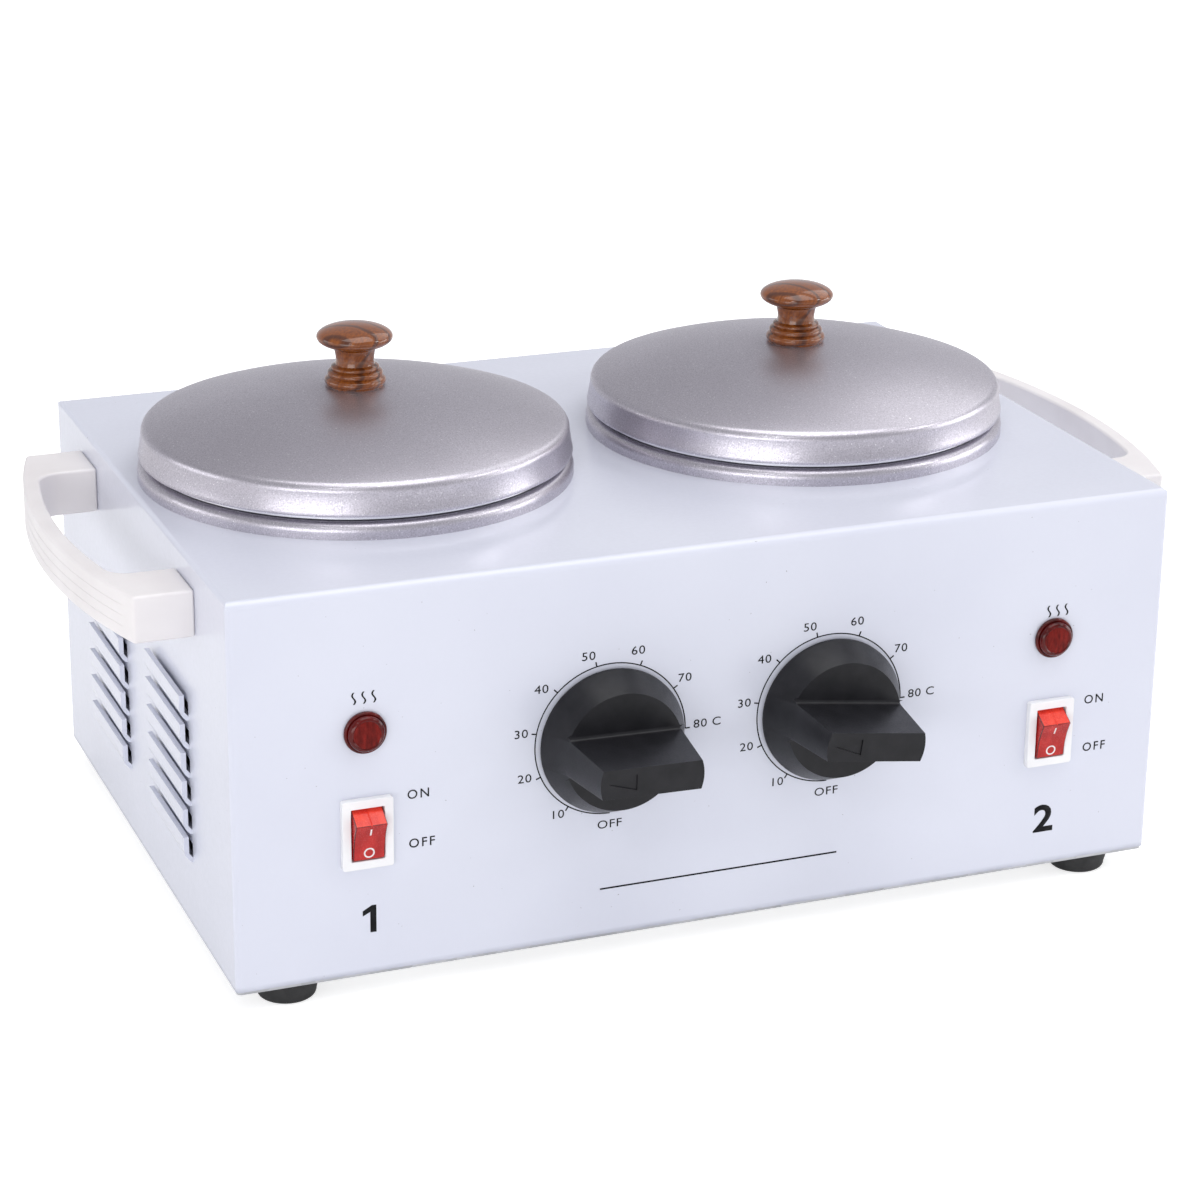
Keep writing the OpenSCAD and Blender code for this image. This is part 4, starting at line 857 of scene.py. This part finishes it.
def ring(at, inner, outer, first=0.0, sweep=360.0, steps=72):
    """A ring or part of a ring of ink, from an angle and on against the clock, in degrees."""
    way = Vector((math.cos(math.radians(first)), math.sin(math.radians(first)), 0))
    line = trace([way * inner, way * outer])
    bpy.ops.mesh.select_all(action="SELECT")
    bpy.ops.mesh.spin(steps=steps, angle=-math.radians(sweep), center=(0, 0, 0), axis=(0, 0, 1))
    close_edit(line)
    return inked(put(line, move=(at[0], at[1], 0)))


def wave(at, height=3.6, width=0.5, swing=0.45):
    """One rising wave of the heat sign, as a strip extruded along a sine."""
    points = [(swing * math.sin(2 * math.pi * i / 16), height * (i / 16 - 0.5), 0) for i in range(17)]
    line = trace([Vector(point) - Vector((width / 2, 0, 0)) for point in points])
    bpy.ops.mesh.select_all(action="SELECT")
    bpy.ops.mesh.extrude_region_move(TRANSFORM_OT_translate={"value": (width * MM, 0, 0)})
    close_edit(line)
    return inked(put(line, move=(at[0], at[1], 0)))


def numeral_one(at):
    """A bold 1 with its flag, which the plain typeface draws as a bare stroke."""
    shape = [(-0.1, -4.2), (1.7, -4.2), (1.7, 4.2), (0.4, 4.2), (-2.3, 2.7), (-2.3, 1.1), (-0.1, 2.2)]
    line = trace([(x, y, 0) for x, y in shape])
    bpy.ops.mesh.select_all(action="SELECT")
    bpy.ops.mesh.edge_face_add()
    only(line)
    return inked(put(line, move=(at[0], at[1], 0)))


print("ink thickness", 0.06, "mm")

# %% Marks round a dial
RING = (22.85, 23.2)
TICK_R = 23.8
SWEEP = 270.0
LABELS = {
    "OFF": (0, -26.4), "10": (-16.1, -21.1), "20": (-26.1, -8.6), "30": (-27.2, 5.2), "40": (-21.1, 18.0),
    "50": (-7.0, 26.1), "60": (8.1, 26.0), "70": (22.6, 15.8), "80": (27.7, 0.9), "C": (32.8, 0.9),
}
marks = []
for side in SIDES:
    centre = middle(side + "_dial")
    marks.append(ring((centre.x, centre.z), *RING, sweep=SWEEP))
    for step in range(1, 9):
        angle = SWEEP - step * SWEEP / 8
        way = Vector((math.cos(math.radians(angle)), math.sin(math.radians(angle))))
        spot = Vector((centre.x, centre.z)) + way * TICK_R
        marks.append(stroke(spot, 1.4, 0.4, turn=angle))
    for text, (x, y) in LABELS.items():
        marks.append(letters(text, (centre.x + x, centre.z + y), 2.5))

print("marks so far:", len(marks))

# %% Marks beside switches and lamps, and the pot numbers
BOTTOM = base_high.z
PLACES = {
    "left": {"ON": (-91.0, 53.0), "OFF": (-90.1, 38.0), "heat": (-106.6, 84.0), "pot": (-105.5, 16.6)},
    "right": {"ON": (123.9, 52.0), "OFF": (124.9, 36.4), "heat": (109.6, 82.2), "pot": (109.0, 14.8)},
}
for side, number in (("left", "1"), ("right", "2")):
    place = {name: (x, z + BOTTOM) for name, (x, z) in PLACES[side].items()}
    marks.append(letters("ON", place["ON"], 2.7, weight=0.02, spacing=1.25, wide=1.0))
    marks.append(letters("OFF", place["OFF"], 2.7, weight=0.02, spacing=1.25, wide=1.0))
    if number == "1":
        marks.append(numeral_one(place["pot"]))
    else:
        marks.append(letters(number, place["pot"], 8.4, weight=0.28))
    for shift in (-2.9, 0, 2.9):
        marks.append(wave((place["heat"][0] + shift, place["heat"][1])))
marks.append(stroke((1.75, 14.5 + BOTTOM), 75.5, 0.5))
print_sheet = joined(marks)
print_sheet = put(print_sheet, move=(0, front_y, 0), turn=FACING_FRONT)
hand_over(print_sheet, "printed_marks", "chassis", "black_plastic", black_ink)

# %% Stroke and ring on each rocker


def on_face(mark, y):
    """Lays a mark on the hollow face of the rocker, tilted as the face is at that place."""
    wear(mark, white_ink)
    slope = math.degrees(math.asin(y / face_r))
    depth = face_r - math.sqrt(face_r * face_r - y * y)
    return put(mark, move=(0, y, RISE - SAG + depth), turn=(slope, 0, 0))


on_mark = on_face(stroke((0, 0), 0.45, 2.4), 3.4)
off_mark = on_face(ring((0, 0), 1.15, 1.6, steps=32), -3.9)
wear(rocker, finishes["red_rocker"])
for finish in (rocker_top_painted_light, rocker_rim_painted_shade):
    rocker.data.materials.append(finish)
only(rocker)
bpy.ops.object.mode_set(mode="EDIT")
# painted light on the upper end face
pick("FACE", lambda at, way: way.y > 0.8 and at.z > 0)
rocker.active_material_index = 1
bpy.ops.object.material_slot_assign()
# painted shade on the slanted edge faces
pick("FACE", lambda at, way: at.z > 0.3 and max(abs(v) for v in way) < 0.93 and abs(at.x) > 0.6)
rocker.active_material_index = 2
bpy.ops.object.material_slot_assign()
only(rocker)
rocker = joined([rocker, on_mark, off_mark])
for side in SIDES:
    centre = middle(side + "_rocker")
    switch_z = middle(side + "_switch").z
    tilted = put(rocker, turn=(TILT, 0, 0), copy=True)
    piece = put(tilted, move=(centre.x, front_y + 1.5, switch_z), turn=FACING_FRONT)
    hand_over(piece, side + "_lit_rocker", side + "_rocker_body", "red_rocker", None, side + "_rocker")
bpy.data.objects.remove(rocker)

# %% [markdown]
# ## Lamp lenses
# Each lamp is a red cap with a thin rim on the paint. Behind its face sits a brighter reflector, which on
# the real one shows through the plastic as a lighter disc. The face is therefore sunk a little inside its
# edge, and the sunk disc gets a brighter red with fine streaks.

# %% Lens with its lighter core
profile = [(3.7, 0), (6.0, 0), (6.2, 0.3), (6.2, 0.7)]
profile += arc((5.7, 0.8), 0.5, 0, 110, 5)
profile += [(5.35, 1.15)]
profile += arc((4.0, 1.6), 1.35, -5, 75, 7)
profile += [(4.05, 2.75), (3.95, 2.65), (2.6, 2.85), (1.3, 2.98), (0, 3.02)]
profile += [(0, 1.8), (3.0, 1.6), (3.7, 1.0)]
lens = lathed(profile, steps=64, closed=True)
shaded(lens, 40, even=False)
wear(lens, finishes["red_lens"])
lens.data.materials.append(lamp_core)
only(lens)
bpy.ops.object.mode_set(mode="EDIT")
pick("FACE", lambda at, way: way.z > 0.5 and at.xy.length < 4.0 and at.z > 2)
lens.active_material_index = 1
bpy.ops.object.material_slot_assign()
only(lens)
for side in SIDES:
    centre = middle(side + "_lamp_lens")
    piece = put(lens, move=(centre.x, front_y, centre.z), turn=FACING_FRONT, copy=True)
    hand_over(piece, side + "_red_lens", "chassis", "red_lens", None, side + "_lamp_lens")
bpy.data.objects.remove(lens)

# %% [markdown]
# ## Feet
# Four rubber feet are screwed to the base. They taper towards the table and have a round bottom edge and a
# pit for the screw's head. The same outline is spun once and copied to the four corners.

# %% Outline of a foot, and four copies
foot_low, foot_high = corners("front_left_foot")
FOOT_R = (foot_high.x - foot_low.x) / 2
FOOT_H = foot_high.z - foot_low.z
profile = [(2.15, FOOT_H), (FOOT_R - 0.2, FOOT_H), (FOOT_R, FOOT_H - 0.2), (FOOT_R, FOOT_H - 1)]
profile += arc((FOOT_R - 2.45, 1.5), 1.5, 8, -90, 6)
profile += [(4.8, 0), (4.4, 0.4), (4.4, 3.0), (2.15, 3.0)]
foot = lathed(profile, steps=48, closed=True)
shaded(foot, 35, even=False)
for node in ("front_left_foot", "front_right_foot", "rear_left_foot", "rear_right_foot"):
    centre = middle(node)
    piece = put(foot, move=(centre.x, centre.y, foot_low.z), copy=True)
    hand_over(piece, node + "_pad", "chassis", "rubber", finishes["rubber"], node)
bpy.data.objects.remove(foot)

# %% [markdown]
# ## Table, light and camera
# The photograph was taken on a white table among large soft lights. Low ones to the left and right give the
# bright bands on each lid's skirt. A large one overhead lights the top sheet, and two small ones make the
# glints on the varnish. The room is paler near the table than above, and the table itself glows a little.

# %% Floor and room
floor = start(bpy.ops.mesh.primitive_plane_add, size=3)
only(floor)
floor.name = "floor"
pale = Finish("pale_table", Roughness=0.9, Emission_Strength=0.7)
patchy = pale.cloud(pale.place(cell=(90, 90, 90)))
pale.feed(Base_Color=pale.between(patchy, (0.66, 0.66, 0.66), (0.68, 0.68, 0.68)))
lit = pale.node("LightPath", out="Is Camera Ray")
pale.feed(Emission_Color=pale.between(lit, (0.44, 0.44, 0.44), (1.0, 1.0, 1.0)))
wear(floor, pale.material)
scene = bpy.context.scene
scene.view_settings.view_transform = "Standard"
room = bpy.data.worlds.new("room")
scene.world = room
room.use_nodes = True
air = room.node_tree
low_light = air.nodes["Background"]
low_light.inputs["Color"].default_value = (0.95, 0.95, 1.0, 1)
way_out = air.nodes.new("ShaderNodeTexCoord")
height = air.nodes.new("ShaderNodeSeparateXYZ")
fade = air.nodes.new("ShaderNodeMapRange")
for name, value in {"From Min": 0.1, "From Max": 0.45, "To Min": 0.69, "To Max": 0.46}.items():
    fade.inputs[name].default_value = value
air.links.new(way_out.outputs["Generated"], height.inputs[0])
air.links.new(height.outputs["Z"], fade.inputs["Value"])
air.links.new(fade.outputs["Result"], low_light.inputs["Strength"])
white_sky = air.nodes.new("ShaderNodeBackground")
white_sky.inputs["Color"].default_value = (1, 1, 1, 1)
seen = air.nodes.new("ShaderNodeLightPath")
either = air.nodes.new("ShaderNodeMixShader")
air.links.new(seen.outputs["Is Camera Ray"], either.inputs[0])
air.links.new(low_light.outputs[0], either.inputs[1])
air.links.new(white_sky.outputs[0], either.inputs[2])
air.links.new(either.outputs[0], air.nodes["World Output"].inputs[0])

# %% Soft lights
target = Vector((2.8, 7.9, 71.5)) * MM


def direction(azimuth, elevation):
    """A unit vector from the warmer, by its angle round from the front and its angle up, in degrees."""
    a, e = math.radians(azimuth), math.radians(elevation)
    return Vector((math.sin(a) * math.cos(e), -math.cos(a) * math.cos(e), math.sin(e)))


def softbox(name, azimuth, elevation, wide, high, power, distance=1.6):
    """A light sheet at a direction from the warmer, turned towards it. Sizes are in metres."""
    way = direction(azimuth, elevation)
    lamp = bpy.data.objects.new(name, bpy.data.lights.new(name, "AREA"))
    bpy.context.collection.objects.link(lamp)
    lamp.data.shape = "RECTANGLE"
    lamp.data.size = wide
    lamp.data.size_y = high
    lamp.data.energy = power
    facing = way.to_track_quat("Z", "Y").to_matrix().to_4x4()
    lamp.matrix_world = Matrix.Translation(target + way * distance) @ facing


softbox("left_softbox", -42, 6, 1.15, 0.45, 5.2)
softbox("low_left_softbox", -104, 12, 1.0, 0.5, 2.6)
softbox("low_right_softbox", 78, 9, 1.0, 0.5, 5)
softbox("right_softbox", 58, 34, 0.3, 0.3, 2.2)
softbox("small_softbox", -34, 36, 0.22, 0.16, 1.2)
softbox("top_softbox", 20, 80, 1.4, 1.4, 13.5)
softbox("far_softbox", 108, 42, 1.4, 0.9, 4.5)

# %% Camera
toward = direction(-21.73, 20.32)
ROLL = 0.68
camera = bpy.data.objects.new("camera", bpy.data.cameras.new("camera"))
bpy.context.collection.objects.link(camera)
camera.data.lens = 99.97
camera.data.sensor_width = 36
level_view = toward.to_track_quat("Z", "Y").to_matrix() @ Matrix.Rotation(math.radians(ROLL), 3, "Z")
camera.matrix_world = Matrix.Translation(target + toward * 1.0476) @ level_view.to_4x4()
scene.camera = camera
print("camera at mm:", [round(v / MM) for v in camera.matrix_world.translation])
